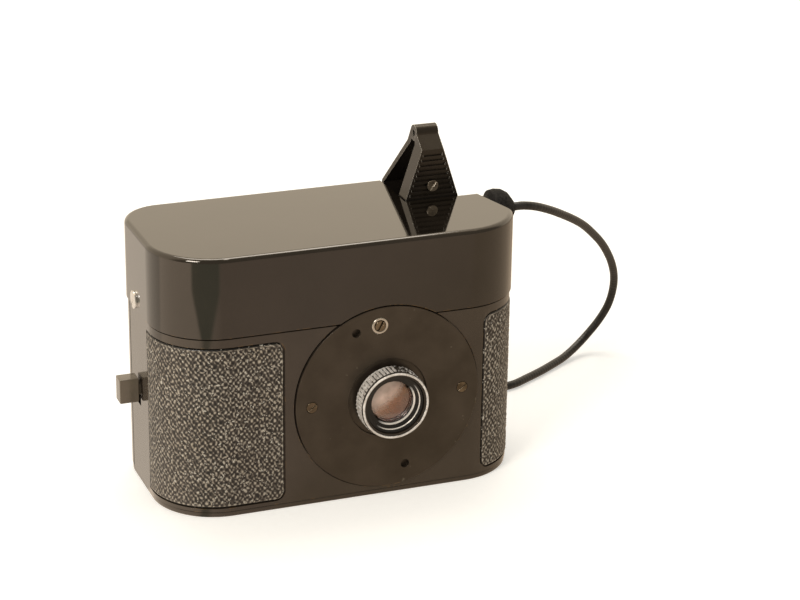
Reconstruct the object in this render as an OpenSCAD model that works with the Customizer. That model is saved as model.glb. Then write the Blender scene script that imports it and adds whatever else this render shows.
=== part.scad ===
// Small spring-driven camera in a two-part metal case, with a ribbed release
// lever on its right shoulder and a remote release cable.
// Millimetres. Z is up, the lens looks along -Y, and the origin is the middle
// of the base plate's underside.

/* [Case] */
// Width of the case over the top cover
body_w = 77; // [72:1:90]
// Depth of the case, front face to back face
body_d = 36; // [34:0.5:44]
// Height of the case
body_h = 55; // [55:0.5:62]
// Height of the seam under the top cover
seam_z = 38.5; // [38.5:0.5:42]
// Corner radius at the front, seen from above
front_r = 13.5; // [11:0.5:14]
// Corner radius at the back, seen from above
rear_r = 8.5; // [5:0.5:8.5]
// How far the top cover overhangs the lower case
cover_step = 0.3; // [0.2:0.1:0.6]
// Wall of the lower case
shell_t = 1.6; // [1.2:0.1:1.8]
// Wall of the top cover
cover_t = 1.2; // [0.8:0.1:1.4]
// Round along the cover's top edge
edge_r = 1.0; // [0.5:0.1:1.2]
// Thickness of the base plate
base_t = 1.2; // [1:0.1:1.6]
// Depth of the case in front of the back cover
split_y = 27; // [26.5:0.1:27]

/* [Leatherette] */
// Thickness of the covering
leather_t = 0.5; // [0.4:0.1:0.7]
// Inner edge of the left panel, from the middle of the case
left_panel_x = 14.3; // [14.3:0.5:20]
// Inner edge of the right panel, from the middle of the case
right_panel_x = 28.4; // [28.4:0.2:30]
// How far the panels run back along the sides
panel_y = 14.7; // [13:0.1:17]
// Lowest edge of the panels
panel_z0 = 2.1; // [1.8:0.1:6]
// Highest edge of the panels
panel_z1 = 36.3; // [30:0.1:36.8]
// Corner radius of the panels
panel_r = 2; // [1:0.1:3]

/* [Lens plate] */
// Lens axis, to the right of the middle
lens_x = 7.4; // [6:0.1:8]
// Lens axis, above the table
lens_z = 21.5; // [21:0.1:22]
// Diameter of the round lens plate
plate_d = 39; // [37:0.5:40]
// Thickness of the lens plate
plate_t = 1.5; // [1.3:0.1:1.7]
// How far the plate stands out of the front face
plate_proud = 0.2; // [0:0.1:0.5]
// Distance of the two plate screws from the lens axis
plate_screw_x = 16.1; // [15:0.1:16.6]
// Radius of the screw heads in the plate
plate_screw_r = 1.15; // [0.9:0.05:1.4]
// Radius of the two spanner holes
spanner_r = 0.9; // [0.6:0.05:1.1]

/* [Lens] */
// Diameter of the milled front ring
ring_d = 14.4; // [13:0.1:15]
// How far the front ring stands out of the front face
lens_out = 5; // [4.5:0.1:6]
// Diameter of the fixed lens tube
tube_d = 12.2; // [11.6:0.1:12.2]
// Clear diameter of the front glass
glass_d = 9.6; // [8.6:0.1:9.8]
// Running clearance of shafts and rings
fit_gap = 0.05; // [0.03:0.01:0.08]
// Gap between moving pieces that don't touch
air_gap = 0.35; // [0.3:0.05:0.5]

/* [Iris] */
// Distance from the lens axis to the slotted setting spindle
spindle_off = 15.8; // [15.8:0.05:16]
// Radius of the spindle's collar
collar_r = 1.75; // [1.5:0.05:2]
// Thickness of the stop disc
disc_t = 0.5; // [0.4:0.05:0.6]
// Largest stop
stop_d = 5.2; // [4:0.1:5.4]

/* [Film] */
// Width of the film
film_w = 21; // [20:0.5:21.5]
// Border of the film above and below a picture
film_edge = 1.5; // [1.3:0.1:2.5]
// Film plane, behind the front face
film_y = 30; // [29.8:0.1:30.2]
// Thickness of the film
film_t = 0.2; // [0.12:0.01:0.25]

/* [Movement] */
// Axis of the spring barrel and take-up spool, from the left side
barrel_in = 14.5; // [14.3:0.1:14.9]
// The same axis, behind the front face
barrel_y = 17.5; // [17:0.1:18]
// Teeth of the barrel wheel
barrel_teeth = 48; // [44:2:48]
// Teeth of the pinions
pinion_teeth = 12; // [10:1:12]
// Teeth of the centre wheel
centre_teeth = 40; // [36:2:40]
// Gear module
gear_m = 0.5; // [0.45:0.01:0.5]
// Radius of the winding arbor
arbor_r = 1.5; // [1.2:0.05:1.6]

/* [Release lever] */
// Left wall of the recess, right of the middle
recess_x = 18.6; // [18:0.1:19.5]
// Front wall of the recess, behind the front face
recess_y = 20.6; // [20:0.1:21]
// Depth of the recess below the top
recess_h = 8.8; // [8:0.1:9.4]
// Middle of the lever, right of the middle of the case
lever_x = 24.75; // [24.75:0.05:25.5]
// Width of the ribbed pad where it leaves the recess
pad_w = 11.5; // [10.5:0.1:11.5]
// Width of the pad at its top
pad_top_w = 4.8; // [4:0.1:6]
// Height of the pad above the case
pad_h = 10.4; // [9:0.1:11.5]
// Thickness of the pad
pad_t = 3; // [2.5:0.1:3.2]
// Ribs across the pad
pad_ribs = 9; // [6:1:10]
// Height of the bow above the case
bow_h = 14.5; // [13.5:0.1:16]
// Thickness of the bow's strip
bow_t = 1; // [0.7:0.1:1.2]

/* [Catch] */
// How far the catch's knob stands out of the side
catch_out = 4; // [3:0.1:5]
// Travel of the catch
catch_move = 2; // [1.5:0.1:2]

/* [Cable] */
// Diameter of the release cable
cable_d = 1.8; // [1.8:0.1:1.8]

/* [Hidden] */
$fn = 64;
// Small overlap that makes cuts run clean through
cut = 0.1;
barrel_x = body_w/2 - barrel_in;
low_w = body_w - 2*cover_step;
inner_x = low_w/2 - shell_t;
wall_y = cover_step + shell_t;
deck_z = body_h - recess_h;
floor_z = base_t + 1.5;
plate_back = plate_t - plate_proud;
// Movement plate, just under the seam's level
move_z = seam_z + 0.3;
move_t = 1.2;
bridge_t = 1;
bridge_z = body_h - cover_t - 0.4 - bridge_t;
drum_r = gear_m*barrel_teeth/2 - 1.2;
barrel_pitch = gear_m*barrel_teeth/2;
pinion_pitch = gear_m*pinion_teeth/2;
centre_pitch = gear_m*centre_teeth/2;
mesh_gap = 0.1;
centre_x = -barrel_x + barrel_pitch + pinion_pitch + mesh_gap;
governor_x = centre_x + centre_pitch + pinion_pitch + mesh_gap;
wheel_t = 1.2;
// Screws in the sides and the lugs of the movement plate that they enter
side_screw_y = 21.7;
side_screw_z = 40.4;
side_shank_r = 0.7;
lug_x0 = body_w/2 - cover_t - 2.2;
lug_x1 = body_w/2 - cover_t - 0.3;
centre_wheel_z = move_z + move_t + 0.6;
barrel_wheel_z = centre_wheel_z + wheel_t + 0.6;
drum_top = bridge_z - 0.3;
barrel_h = drum_top - barrel_wheel_z - wheel_t;
// Optics along the lens axis, front to back
iris_y = wall_y + 1.3;
cell_plate_y = iris_y + disc_t + 0.7;
cell_plate_t = 0.8;
cell_plate_x0 = lens_x - 20.4;
cell_plate_x1 = lens_x + 17.6;
cell_plate_z0 = lens_z - 16.5;
cell_plate_z1 = lens_z + 15;
shutter_y = cell_plate_y + cell_plate_t + 3.9;
shutter_t = 0.4;
box_y0 = shutter_y + shutter_t + 0.7;
gate_t = 1;
gate_y = film_y - film_t/2 - gate_t;
lip_t = 0.35;
front_seat = -1.7;
tube_back = iris_y - 0.4;
cell_r = 4.6;
cell_y0 = iris_y + disc_t + 0.4;
cell_y1 = shutter_y - 0.4;
rear_glass_r = 3.8;
// Iris gearing
iris_m = 0.4;
iris_teeth = 42;
spindle_teeth = 10;
iris_pitch = iris_m*iris_teeth/2;
spindle_pitch = iris_m*spindle_teeth/2;
lean = -0.115;
rise = sqrt(1 - lean*lean);
spindle_x = lens_x + lean*spindle_off;
spindle_z = lens_z + rise*spindle_off;
iris_off = spindle_off - iris_pitch - spindle_pitch - mesh_gap;
iris_x = lens_x + lean*iris_off;
iris_z = lens_z + rise*iris_off;
mesh_angle = atan2(rise, lean);
spindle_turn = mesh_angle + 180 + 180/spindle_teeth;
// Shutter disc, beside and above the lens axis
shutter_r = 11.6;
shutter_dx = -7;
shutter_dz = 3.6;
shutter_x = lens_x + shutter_dx;
shutter_z = lens_z + shutter_dz;
// Supply cassette
supply_y = 17;
supply_r = 7.2;
supply_x = inner_x - supply_r - 0.6;
// Picture, as wide as the room between the lens axis and the supply can lets it be
box_wall = 1.4;
box_gap = 0.8;
frame_w = 2*(supply_x - supply_r - lens_x - box_wall - box_gap);
frame_h = film_w - 2*film_edge;
film_z0 = lens_z - film_w/2;
film_z1 = lens_z + film_w/2;
roll_r = 5.9;
// Lever pivot and its bracket
pivot_y = recess_y + 2.6;
pivot_z = deck_z + 3.3;
pivot_r = 0.8;
hub_w = 8.4;
ear_t = 1;
ear_gap = 0.3;
ear_x0 = hub_w/2 + ear_gap;
ear_x1 = ear_x0 + ear_t;
pad_y = recess_y + 0.6;
bow_y = pad_y + pad_t;
foot_y = body_d - 0.8;
pad_z0 = deck_z + 6.2;
pad_z1 = body_h + pad_h;
pin_y = pivot_y + 7.8;
pin_r = 1;
foot_z = deck_z + 4.6;
// Catch: a knob outside, a plate inside, and a pin in the notch of the back's tab
catch_y = 22;
catch_z = 21.2;
catch_neck = 2.4;
catch_plate_t = 0.9;
catch_pin_r = 0.6;
catch_pin_y = 26.2;
catch_pin_z = catch_z - 1.8;
tab_in = 1.6;
tab_t = 0.9;
tab_z0 = catch_z - 3;
// Winding key in the floor
key_cup_top = 5.4;
key_z = 2.9;
cup_r = split_y - barrel_y - 0.4;
key_r = cup_r - 1.3;
ear_mid = key_r - 4;
bow_z = 1.6;
// Cable fitting on the right shoulder
gland_y = 25.4;
gland_z = 49.4;
gland_x0 = 32.4;
gland_x1 = 44.8;

// Moves a piece from measures taken at the front face to the part's own origin
module place() {
    translate([0, -body_d/2, 0]) children();
}

function unit(v) = v/norm(v);

// Rounded plan outline, inset all round by i
module plan(i) {
    w = body_w/2 - i;
    y0 = i;
    y1 = body_d - i;
    fr = front_r - i;
    rr = rear_r - i;
    for (s = [-1, 1]) {
        translate([s*(w - fr), y0 + fr]) circle(r = fr);
        translate([s*(w - rr), y1 - rr]) circle(r = rr);
    }
    polygon([[-w + fr, y0], [w - fr, y0], [w, y0 + fr], [w, y1 - rr],
        [w - rr, y1], [-w + rr, y1], [-w, y1 - rr], [-w, y0 + fr]]);
}

// Solid slab of the plan between two heights
module slab(i, z0, z1) {
    translate([0, 0, z0]) linear_extrude(z1 - z0) plan(i);
}

// Cylinder along Y from y0 to y1
module rod_y(x, z, r, y0, y1) {
    translate([x, y0, z]) rotate([-90, 0, 0]) cylinder(r = r, h = y1 - y0);
}

// Cylinder along X from x0 to x1
module rod_x(y, z, r, x0, x1) {
    translate([x0, y, z]) rotate([0, 90, 0]) cylinder(r = r, h = x1 - x0);
}

// Cylinder along Z from z0 to z1
module rod_z(x, y, r, z0, z1) {
    translate([x, y, z0]) cylinder(r = r, h = z1 - z0);
}

// Box between two corners
module block(a, b) {
    translate(a) cube([b[0] - a[0], b[1] - a[1], b[2] - a[2]]);
}

// Flat gear outline with straight-sided teeth, thinned for running clearance
module gear_outline(teeth, m) {
    pitch = m*teeth/2;
    flank = [[pitch - 1.15*m, 0.57*m], [pitch + 0.1*m, 0.62*m], [pitch + 0.9*m, 0.32*m]];
    polygon([for (k = [0 : teeth - 1]) let (a = 360*k/teeth) each [
        for (j = [0 : 5]) let (f = flank[j < 3 ? j : 5 - j], x = f[0], y = j < 3 ? -f[1] : f[1])
            [x*cos(a) - y*sin(a), x*sin(a) + y*cos(a)]]]);
}

// Room for the lever and cable fitting, grown by g towards the case
module recess(g) {
    shoulder_y = front_r - 5.1 - g*0.2;
    translate([0, 0, deck_z - g]) linear_extrude(recess_h + g + 1) polygon([
        [recess_x - g, recess_y - g], [body_w/2 - 3.9 - g*0.8, recess_y - g],
        [body_w/2 - 1 - g, shoulder_y], [body_w/2 + 1, shoulder_y],
        [body_w/2 + 1, body_d + 1], [recess_x - g, body_d + 1]]);
}

// Slab with a rounded top edge
module rounded_top() {
    w = body_w/2;
    slab(0, seam_z, body_h - edge_r);
    slab(edge_r, seam_z, body_h);
    for (s = [-1, 1]) {
        corner_round(s*(w - front_r), front_r, front_r);
        corner_round(s*(w - rear_r), body_d - rear_r, rear_r);
        mirror([s > 0 ? 0 : 1, 0, 0]) edge_bar(w, body_d - rear_r, 0, body_d - front_r - rear_r);
    }
    edge_bar(w - front_r, 0, -90, 2*(w - front_r));
    edge_bar(rear_r - w, body_d, 90, 2*(w - rear_r));
}

// Outline of the rounded edge, its outer side at x = 0 and its top at y = edge_r
function edge_outline(inner) = concat([[-inner, -cut], [0, -cut]],
    [for (a = [0 : 18 : 90]) [edge_r*cos(a) - edge_r, edge_r*sin(a)]], [[-inner, edge_r]]);

// Disc of radius r with a rounded rim, for one corner of the top
module corner_round(x, y, r) {
    translate([x, y, body_h - edge_r]) rotate_extrude()
        polygon([for (p = edge_outline(r)) [p[0] + r, p[1]]]);
}

// Straight length of rounded edge from (x, y), its outer side turned from +X by the angle
module edge_bar(x, y, turn, length) {
    translate([x, y, body_h - edge_r]) rotate([90, 0, turn])
        linear_extrude(length) polygon(edge_outline(3));
}

module body_shell() {
    color([0.26, 0.24, 0.21]) place() difference() {
        slab(cover_step, base_t, seam_z - 0.05);
        slab(cover_step + shell_t, floor_z, seam_z + 1);
        translate([-body_w, split_y, 0]) cube([2*body_w, body_d, body_h]);
        rod_y(lens_x, lens_z, plate_d/2 + 0.25, -1, plate_back + 0.02);
        rod_y(lens_x, lens_z, tube_d/2 + 1.2, -1, wall_y + 1);
        rod_y(spindle_x, spindle_z, spindle_pitch + 1, -1, wall_y + 1);
        for (s = [-1, 1]) rod_y(lens_x + s*plate_screw_x, lens_z, 0.6, -1, wall_y + 1);
        rod_z(-barrel_x, barrel_y, cup_r, -1, floor_z + 1);
        block([-body_w, catch_y - catch_neck/2 - air_gap, catch_z - catch_neck/2 - catch_move - air_gap],
            [0, catch_y + catch_neck/2 + air_gap, catch_z + catch_neck/2 + air_gap]);
        panel_cut(-1, left_panel_x, 0.15);
        panel_cut(1, right_panel_x, 0.15);
    }
}

// Rounded window of a leatherette panel on side s, seen from the front, grown by g
module panel_window(s, x_in, g) {
    x_out = body_w/2 + 2;
    mirror([s > 0 ? 0 : 1, 0, 0]) translate([0, -1, 0]) rotate([-90, 0, 0]) mirror([0, 1, 0])
        linear_extrude(panel_y + 1 + g) {
            for (z = [panel_z0 + panel_r, panel_z1 - panel_r])
                translate([x_in + panel_r, z]) circle(r = panel_r + g);
            polygon([[x_in - g, panel_z0 + panel_r], [x_in + panel_r, panel_z0 - g],
                [x_out, panel_z0 - g], [x_out, panel_z1 + g], [x_in + panel_r, panel_z1 + g],
                [x_in - g, panel_z1 - panel_r]]);
        }
}

// Groove in the case wall that a panel is glued into
module panel_cut(s, x_in, g) {
    intersection() {
        difference() {
            slab(cover_step - 1, 0, seam_z);
            slab(cover_step + leather_t - 0.1, -1, seam_z + 1);
        }
        panel_window(s, x_in, g);
    }
}

module panel(s, x_in) {
    intersection() {
        difference() {
            slab(cover_step - 0.1, 0, seam_z);
            slab(cover_step + leather_t - 0.1, -1, seam_z + 1);
        }
        panel_window(s, x_in, 0);
    }
}

module left_leatherette() {
    color([0.43, 0.40, 0.35]) place() panel(-1, left_panel_x);
}

module right_leatherette() {
    color([0.43, 0.40, 0.35]) place() panel(1, right_panel_x);
}

module base_plate() {
    color([0.24, 0.22, 0.20]) place() difference() {
        slab(cover_step + 0.15, 0, base_t);
        rod_z(-barrel_x, barrel_y, cup_r, -1, base_t + 1);
    }
}

module top_cover() {
    color([0.58, 0.54, 0.47]) place() difference() {
        rounded_top();
        recess(0);
        difference() {
            slab(cover_t, seam_z - 1, body_h - cover_t);
            recess(cover_t);
        }
        rod_y(lens_x, lens_z, plate_d/2 + 0.25, -2, cover_t + 1);
        for (s = [-1, 1]) rod_x(side_screw_y, side_screw_z, side_shank_r + fit_gap,
            s > 0 ? body_w/2 - 3 : -body_w/2 - 1, s > 0 ? body_w/2 + 1 : -body_w/2 + 3);
        rod_z(lever_x, pin_y, pin_r + fit_gap, deck_z - cover_t - 1, deck_z + 1);
    }
}

// Slotted screw head and shank along +X, head's top at x = 0
module slotted_screw(r, head, shank_r, length, slot_w, turn) {
    difference() {
        union() {
            rod_x(0, 0, r, 0, head);
            rod_x(0, 0, shank_r, head - 0.01, length);
        }
        rotate([turn, 0, 0]) translate([-1, -slot_w/2, -r - 1]) cube([1 + head*0.45, slot_w, 2*r + 2]);
    }
}

module cover_screws() {
    color("silver") place() for (s = [-1, 1])
        translate([s*(body_w/2 + 0.5), side_screw_y, side_screw_z]) rotate([0, 0, s > 0 ? 180 : 0])
            slotted_screw(1.85, 0.5, side_shank_r, 4.2, 0.5, 35);
}

module lens_plate() {
    color([0.28, 0.25, 0.22]) place() difference() {
        rod_y(lens_x, lens_z, plate_d/2, -plate_proud, plate_back);
        rod_y(lens_x, lens_z, plate_d/2 - 11.1, -1, -plate_proud + 0.6);
        rod_y(lens_x, lens_z, tube_d/2, -1, plate_back + 1);
        rod_y(spindle_x, spindle_z, collar_r, -1, plate_back + 1);
        for (s = [-1, 1]) {
            rod_y(lens_x + s*plate_screw_x, lens_z, plate_screw_r + 0.05, -1, -plate_proud + 0.5);
            rod_y(lens_x + s*plate_screw_x, lens_z, 0.6, -1, plate_back + 1);
        }
        rod_y(lens_x - 6.8, lens_z + 14.7, spanner_r, -1, plate_back - 0.3);
        rod_y(lens_x + 3.9, lens_z - 15.2, spanner_r, -1, plate_back - 0.3);
    }
}

module plate_screws() {
    color("silver") place() for (s = [-1, 1])
        translate([lens_x + s*plate_screw_x, -plate_proud - 0.05, lens_z]) rotate([0, 0, 90])
            slotted_screw(plate_screw_r, 0.5, 0.55, 2, 0.3, 55);
}

module spindle_collar() {
    color("silver") place() difference() {
        rod_y(spindle_x, spindle_z, collar_r, -plate_proud - 0.15, plate_back);
        rod_y(spindle_x, spindle_z, 1.1 + fit_gap, -1, plate_back + 1);
    }
}

module setting_spindle() {
    color("silver") place() {
        difference() {
            rod_y(spindle_x, spindle_z, 1.1, -plate_proud - 0.25, iris_y + disc_t);
            translate([spindle_x, 0, spindle_z]) rotate([0, 30, 0])
                translate([-0.2, -plate_proud - 1.25, -2]) cube([0.4, 1.5, 4]);
        }
        translate([spindle_x, iris_y + disc_t, spindle_z]) rotate([90, 0, 0])
            linear_extrude(disc_t) rotate(spindle_turn) gear_outline(spindle_teeth, iris_m);
    }
}

// Lens tube with a flange that seats behind the plate
module lens_tube() {
    color([0.2, 0.19, 0.18]) place() difference() {
        union() {
            rod_y(lens_x, lens_z, tube_d/2, -lens_out + 0.35 + lip_t, tube_back);
            rod_y(lens_x, lens_z, tube_d/2 + 1.1, plate_back, plate_back + 0.7);
        }
        rod_y(lens_x, lens_z, glass_d/2, -lens_out, front_seat);
        rod_y(lens_x, lens_z, glass_d/2 - 0.7, front_seat - cut, tube_back + 1);
    }
}

// Milled ring, turned by two fingers
module front_ring() {
    color([0.62, 0.55, 0.42]) place() difference() {
        union() {
            rod_y(lens_x, lens_z, ring_d/2 - 0.25, -lens_out, -0.6);
            for (k = [0 : 47]) translate([lens_x, -3.9, lens_z]) rotate([0, k*7.5, 0])
                translate([ring_d/2 - 0.5, 0, -0.25]) cube([0.5, 3, 0.5]);
            rod_y(lens_x, lens_z, ring_d/2, -lens_out + 0.3, -lens_out + 0.9);
        }
        rod_y(lens_x, lens_z, tube_d/2 + fit_gap, -lens_out + lip_t, 1);
        rod_y(lens_x, lens_z, glass_d/2 + 0.5, -lens_out - 1, 0);
    }
}

// Round glass with one curved face, from y0 to y1, bulging towards side s
module glass(r, y0, y1, ball, s) {
    color([0.8, 0.7, 0.65, 0.5]) place() intersection() {
        rod_y(lens_x, lens_z, r, y0, y1);
        translate([lens_x, s < 0 ? y0 + ball : y1 - ball, lens_z]) sphere(r = ball, $fn = 96);
    }
}

module front_glass() {
    glass(glass_d/2, -lens_out + 1.5, front_seat, 11, -1);
}

module middle_glass() {
    glass(glass_d/2 - 0.7, tube_back - 1.8, tube_back - 0.3, 14, 1);
}

module rear_glass() {
    glass(rear_glass_r, cell_y1 - 2.4, cell_y1 - 0.4, 9, 1);
}

module rear_cell() {
    color([0.2, 0.19, 0.18]) place() difference() {
        union() {
            rod_y(lens_x, lens_z, cell_r, cell_y0, cell_y1);
            rod_y(lens_x, lens_z, cell_r + 1, cell_plate_y + cell_plate_t, cell_plate_y + cell_plate_t + 0.8);
        }
        rod_y(lens_x, lens_z, rear_glass_r, cell_y1 - 2.4, cell_y1 + 1);
        rod_y(lens_x, lens_z, rear_glass_r - 0.6, cell_y0 - 1, cell_y1);
    }
}

// Plate behind the front wall, on four posts, with the studs of the discs
module cell_plate() {
    color("silver") place() difference() {
        union() {
            block([cell_plate_x0, cell_plate_y, cell_plate_z0],
                [cell_plate_x1, cell_plate_y + cell_plate_t, cell_plate_z1]);
            for (x = [cell_plate_x0 + 2, cell_plate_x1 - 2], z = [cell_plate_z0 + 2, cell_plate_z1 - 2])
                rod_y(x, z, 1.4, wall_y, cell_plate_y + cut);
            rod_y(iris_x, iris_z, 0.8, iris_y - 0.4, cell_plate_y + cut);
        }
        rod_y(lens_x, lens_z, cell_r, 0, box_y0);
        rod_y(shutter_x, shutter_z, 0.8 + fit_gap, 0, box_y0);
    }
}

// Disc with four lens stops and a toothed rim
module stop_disc() {
    stops = [stop_d, 3.6, 2.5, 1.8];
    color("dimgray") place() difference() {
        translate([iris_x, iris_y + disc_t, iris_z]) rotate([90, 0, 0])
            linear_extrude(disc_t) rotate(mesh_angle) gear_outline(iris_teeth, iris_m);
        rod_y(iris_x, iris_z, 0.8 + fit_gap, 0, 10);
        for (k = [0 : 3]) rod_y(iris_x + iris_off*cos(mesh_angle + 180 + 90*k),
            iris_z + iris_off*sin(mesh_angle + 180 + 90*k), stops[k]/2, 0, 10);
    }
}

module shutter_disc() {
    color("dimgray") place() {
        translate([shutter_x, shutter_y + shutter_t, shutter_z]) rotate([90, 0, 0])
            linear_extrude(shutter_t) difference() {
                circle(r = shutter_r);
                intersection() {
                    difference() {
                        circle(r = shutter_r - 0.9);
                        circle(r = 4.2);
                    }
                    rotate(118) polygon([[0, 0], [20, 0], [20, 20], [5, 18]]);
                }
            }
        rod_y(shutter_x, shutter_z, 0.8, cell_plate_y - 0.3, shutter_y + cut);
        rod_y(shutter_x, shutter_z, 1.6, cell_plate_y + cell_plate_t + 0.3, shutter_y + cut);
    }
}

module light_box() {
    color([0.12, 0.12, 0.12]) place() difference() {
        block([lens_x - frame_w/2 - box_wall, box_y0, lens_z - frame_h/2 - box_wall],
            [lens_x + frame_w/2 + box_wall, gate_y, lens_z + frame_h/2 + box_wall]);
        block([lens_x - frame_w/2 - 0.4, box_y0 + 1, lens_z - frame_h/2 - 0.4],
            [lens_x + frame_w/2 + 0.4, gate_y + 1, lens_z + frame_h/2 + 0.4]);
        rod_y(lens_x, lens_z, 6, box_y0 - 1, box_y0 + 2);
    }
}

module film_gate() {
    color([0.5, 0.5, 0.5]) place() difference() {
        block([lens_x - frame_w/2 - 3.4, gate_y, floor_z + 1.3],
            [lens_x + frame_w/2 + 3.4, gate_y + gate_t, move_z]);
        block([lens_x - frame_w/2, gate_y - 1, lens_z - frame_h/2],
            [lens_x + frame_w/2, gate_y + 2, lens_z + frame_h/2]);
    }
}

// Flat strip of thickness t through plan points, mitred at the bends
module ribbon(points, t) {
    last = len(points) - 1;
    along = function (k) unit(points[k + 1] - points[k]);
    bend = function (k) k == 0 ? along(0) : k == last ? along(last - 1) : unit(along(k - 1) + along(k));
    square_to = function (k) [-bend(k)[1], bend(k)[0]]*t/2/(k == 0 || k == last ? 1 : bend(k)*along(k));
    polygon([for (k = [0 : last]) points[k] + square_to(k),
        for (k = [last : -1 : 0]) points[k] - square_to(k)]);
}

// Point where a line from point g touches the back of a circle about c
function touch_point(c, r, g) = let (d = g - c, a = atan2(d[1], d[0]) + acos(r/norm(d)))
    c + r*[cos(a), sin(a)];

module film() {
    gate_end = [lens_x - frame_w/2 - 5, film_y];
    color([0.35, 0.25, 0.25]) place() translate([0, 0, film_z0]) linear_extrude(film_w)
        ribbon([touch_point([-barrel_x, barrel_y], roll_r + film_t/2 + 0.3, gate_end), gate_end,
            [lens_x + frame_w/2 + 4, film_y], [supply_x - 2.4, supply_y + supply_r - 0.2]], film_t);
}

module supply_can() {
    color([0.45, 0.45, 0.45]) place() difference() {
        rod_z(supply_x, supply_y, supply_r, floor_z, film_z1 + 2);
        rod_z(supply_x, supply_y, supply_r - 0.6, film_z0 - 0.9, film_z1 + 0.9);
        rod_z(supply_x, supply_y, 1.2 + fit_gap, 0, move_z);
        block([supply_x - 3.2, supply_y + 3, film_z0 - 0.5], [supply_x - 1.6, supply_y + 9, film_z1 + 0.5]);
    }
}

module supply_spool() {
    color([0.15, 0.15, 0.15]) place() {
        rod_z(supply_x, supply_y, 1.2, floor_z + 2.3, film_z1 + 3.5);
        rod_z(supply_x, supply_y, 4.8, film_z0 - 0.4, film_z1 + 0.4);
    }
}

module take_up_spool() {
    color([0.15, 0.15, 0.15]) place() difference() {
        union() {
            rod_z(-barrel_x, barrel_y, 3.5, key_cup_top + 0.6, film_z1 + 2);
            rod_z(-barrel_x, barrel_y, roll_r, film_z0, film_z1);
            for (z = [film_z0 - 1.2, film_z1 + 0.4])
                rod_z(-barrel_x, barrel_y, 9.6, z, z + 0.8);
            rod_z(-barrel_x, barrel_y, 2.6, film_z1 + 1, barrel_wheel_z);
        }
        rod_z(-barrel_x, barrel_y, arbor_r + fit_gap, 0, body_h);
    }
}

// Cup in the floor that the winding key folds into
module key_cup() {
    color([0.24, 0.22, 0.2]) place() difference() {
        rod_z(-barrel_x, barrel_y, cup_r, 0.2, key_cup_top);
        rod_z(-barrel_x, barrel_y, cup_r - 0.8, 0, key_cup_top - 0.8);
        rod_z(-barrel_x, barrel_y, arbor_r + fit_gap, 0, body_h);
    }
}

// Winding arbor with the key's disc and its two ears
module winding_arbor() {
    color("silver") place() {
        rod_z(-barrel_x, barrel_y, arbor_r, key_z, bridge_z + bridge_t + 0.1);
        rod_z(-barrel_x, barrel_y, key_r, key_z, key_z + 1.1);
        for (s = [-1, 1]) difference() {
            block([-barrel_x + s*ear_mid - 0.5, barrel_y - 0.9, bow_z - 0.7],
                [-barrel_x + s*ear_mid + 0.5, barrel_y + 0.9, key_z + 0.1]);
            rod_x(barrel_y, bow_z, 0.4 + fit_gap, -barrel_x + s*ear_mid - 1, -barrel_x + s*ear_mid + 1);
        }
    }
}

// Folding bow of the winding key
module key_bow() {
    color("silver") place() {
        difference() {
            rod_z(-barrel_x, barrel_y, key_r - 1.1, bow_z - 0.65, bow_z + 0.65);
            rod_z(-barrel_x, barrel_y, key_r - 2.9, 0, key_z);
            translate([-barrel_x - 10, barrel_y + 0.7, 0]) cube([20, 10, key_z]);
        }
        for (x = [-ear_mid - 1.3, ear_mid - 0.4])
            rod_x(barrel_y, bow_z, 0.4, -barrel_x + x, -barrel_x + x + 1.7);
    }
}

module movement_plate() {
    color([0.75, 0.65, 0.4]) place() difference() {
        union() {
            slab(cover_t + 0.3, move_z, move_z + move_t);
            for (s = [-1, 1])
                block([s > 0 ? lug_x0 : -lug_x1, side_screw_y - 2.5, move_z],
                    [s > 0 ? lug_x1 : -lug_x0, side_screw_y + 2.5, barrel_wheel_z - 0.3]);
        }
        rod_z(-barrel_x, barrel_y, 2.6 + air_gap, 0, body_h);
        for (x = [centre_x, governor_x]) rod_z(x, barrel_y, 0.6 + fit_gap, 0, body_h);
        block([spindle_x - 3.4, -1, 0], [spindle_x + 3.4, iris_y + disc_t + 0.8, body_h]);
        for (s = [-1, 1]) rod_x(side_screw_y, side_screw_z, side_shank_r, s > 0 ? 30 : -60, s > 0 ? 60 : -30);
    }
}

module movement_bridge() {
    color([0.75, 0.65, 0.4]) place() difference() {
        intersection() {
            slab(cover_t + 0.4, bridge_z, bridge_z + bridge_t);
            block([-body_w, cover_t + 0.8, 0], [governor_x + 5.8, body_d - 3, body_h]);
        }
        rod_z(-barrel_x, barrel_y, arbor_r + fit_gap, 0, body_h);
        for (x = [centre_x, governor_x]) rod_z(x, barrel_y, 0.6 + fit_gap, 0, body_h);
    }
}

module pillars() {
    color([0.75, 0.65, 0.4]) place()
        for (p = [[front_r - body_w/2 - 5, 4.6], [4.9 - body_w/2, body_d - 6.5],
            [governor_x + 3.8, 5.5], [governor_x + 3.8, body_d - 6.5]])
            rod_z(p[0], p[1], 1.3, move_z + move_t, bridge_z);
}

module spring_barrel() {
    color([0.75, 0.65, 0.4]) place() difference() {
        union() {
            translate([-barrel_x, barrel_y, barrel_wheel_z]) linear_extrude(wheel_t)
                gear_outline(barrel_teeth, gear_m);
            rod_z(-barrel_x, barrel_y, drum_r, barrel_wheel_z + wheel_t - cut, drum_top);
        }
        rod_z(-barrel_x, barrel_y, drum_r - 0.8, barrel_wheel_z + wheel_t, drum_top + 1);
        rod_z(-barrel_x, barrel_y, arbor_r + fit_gap, 0, body_h);
    }
}

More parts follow.
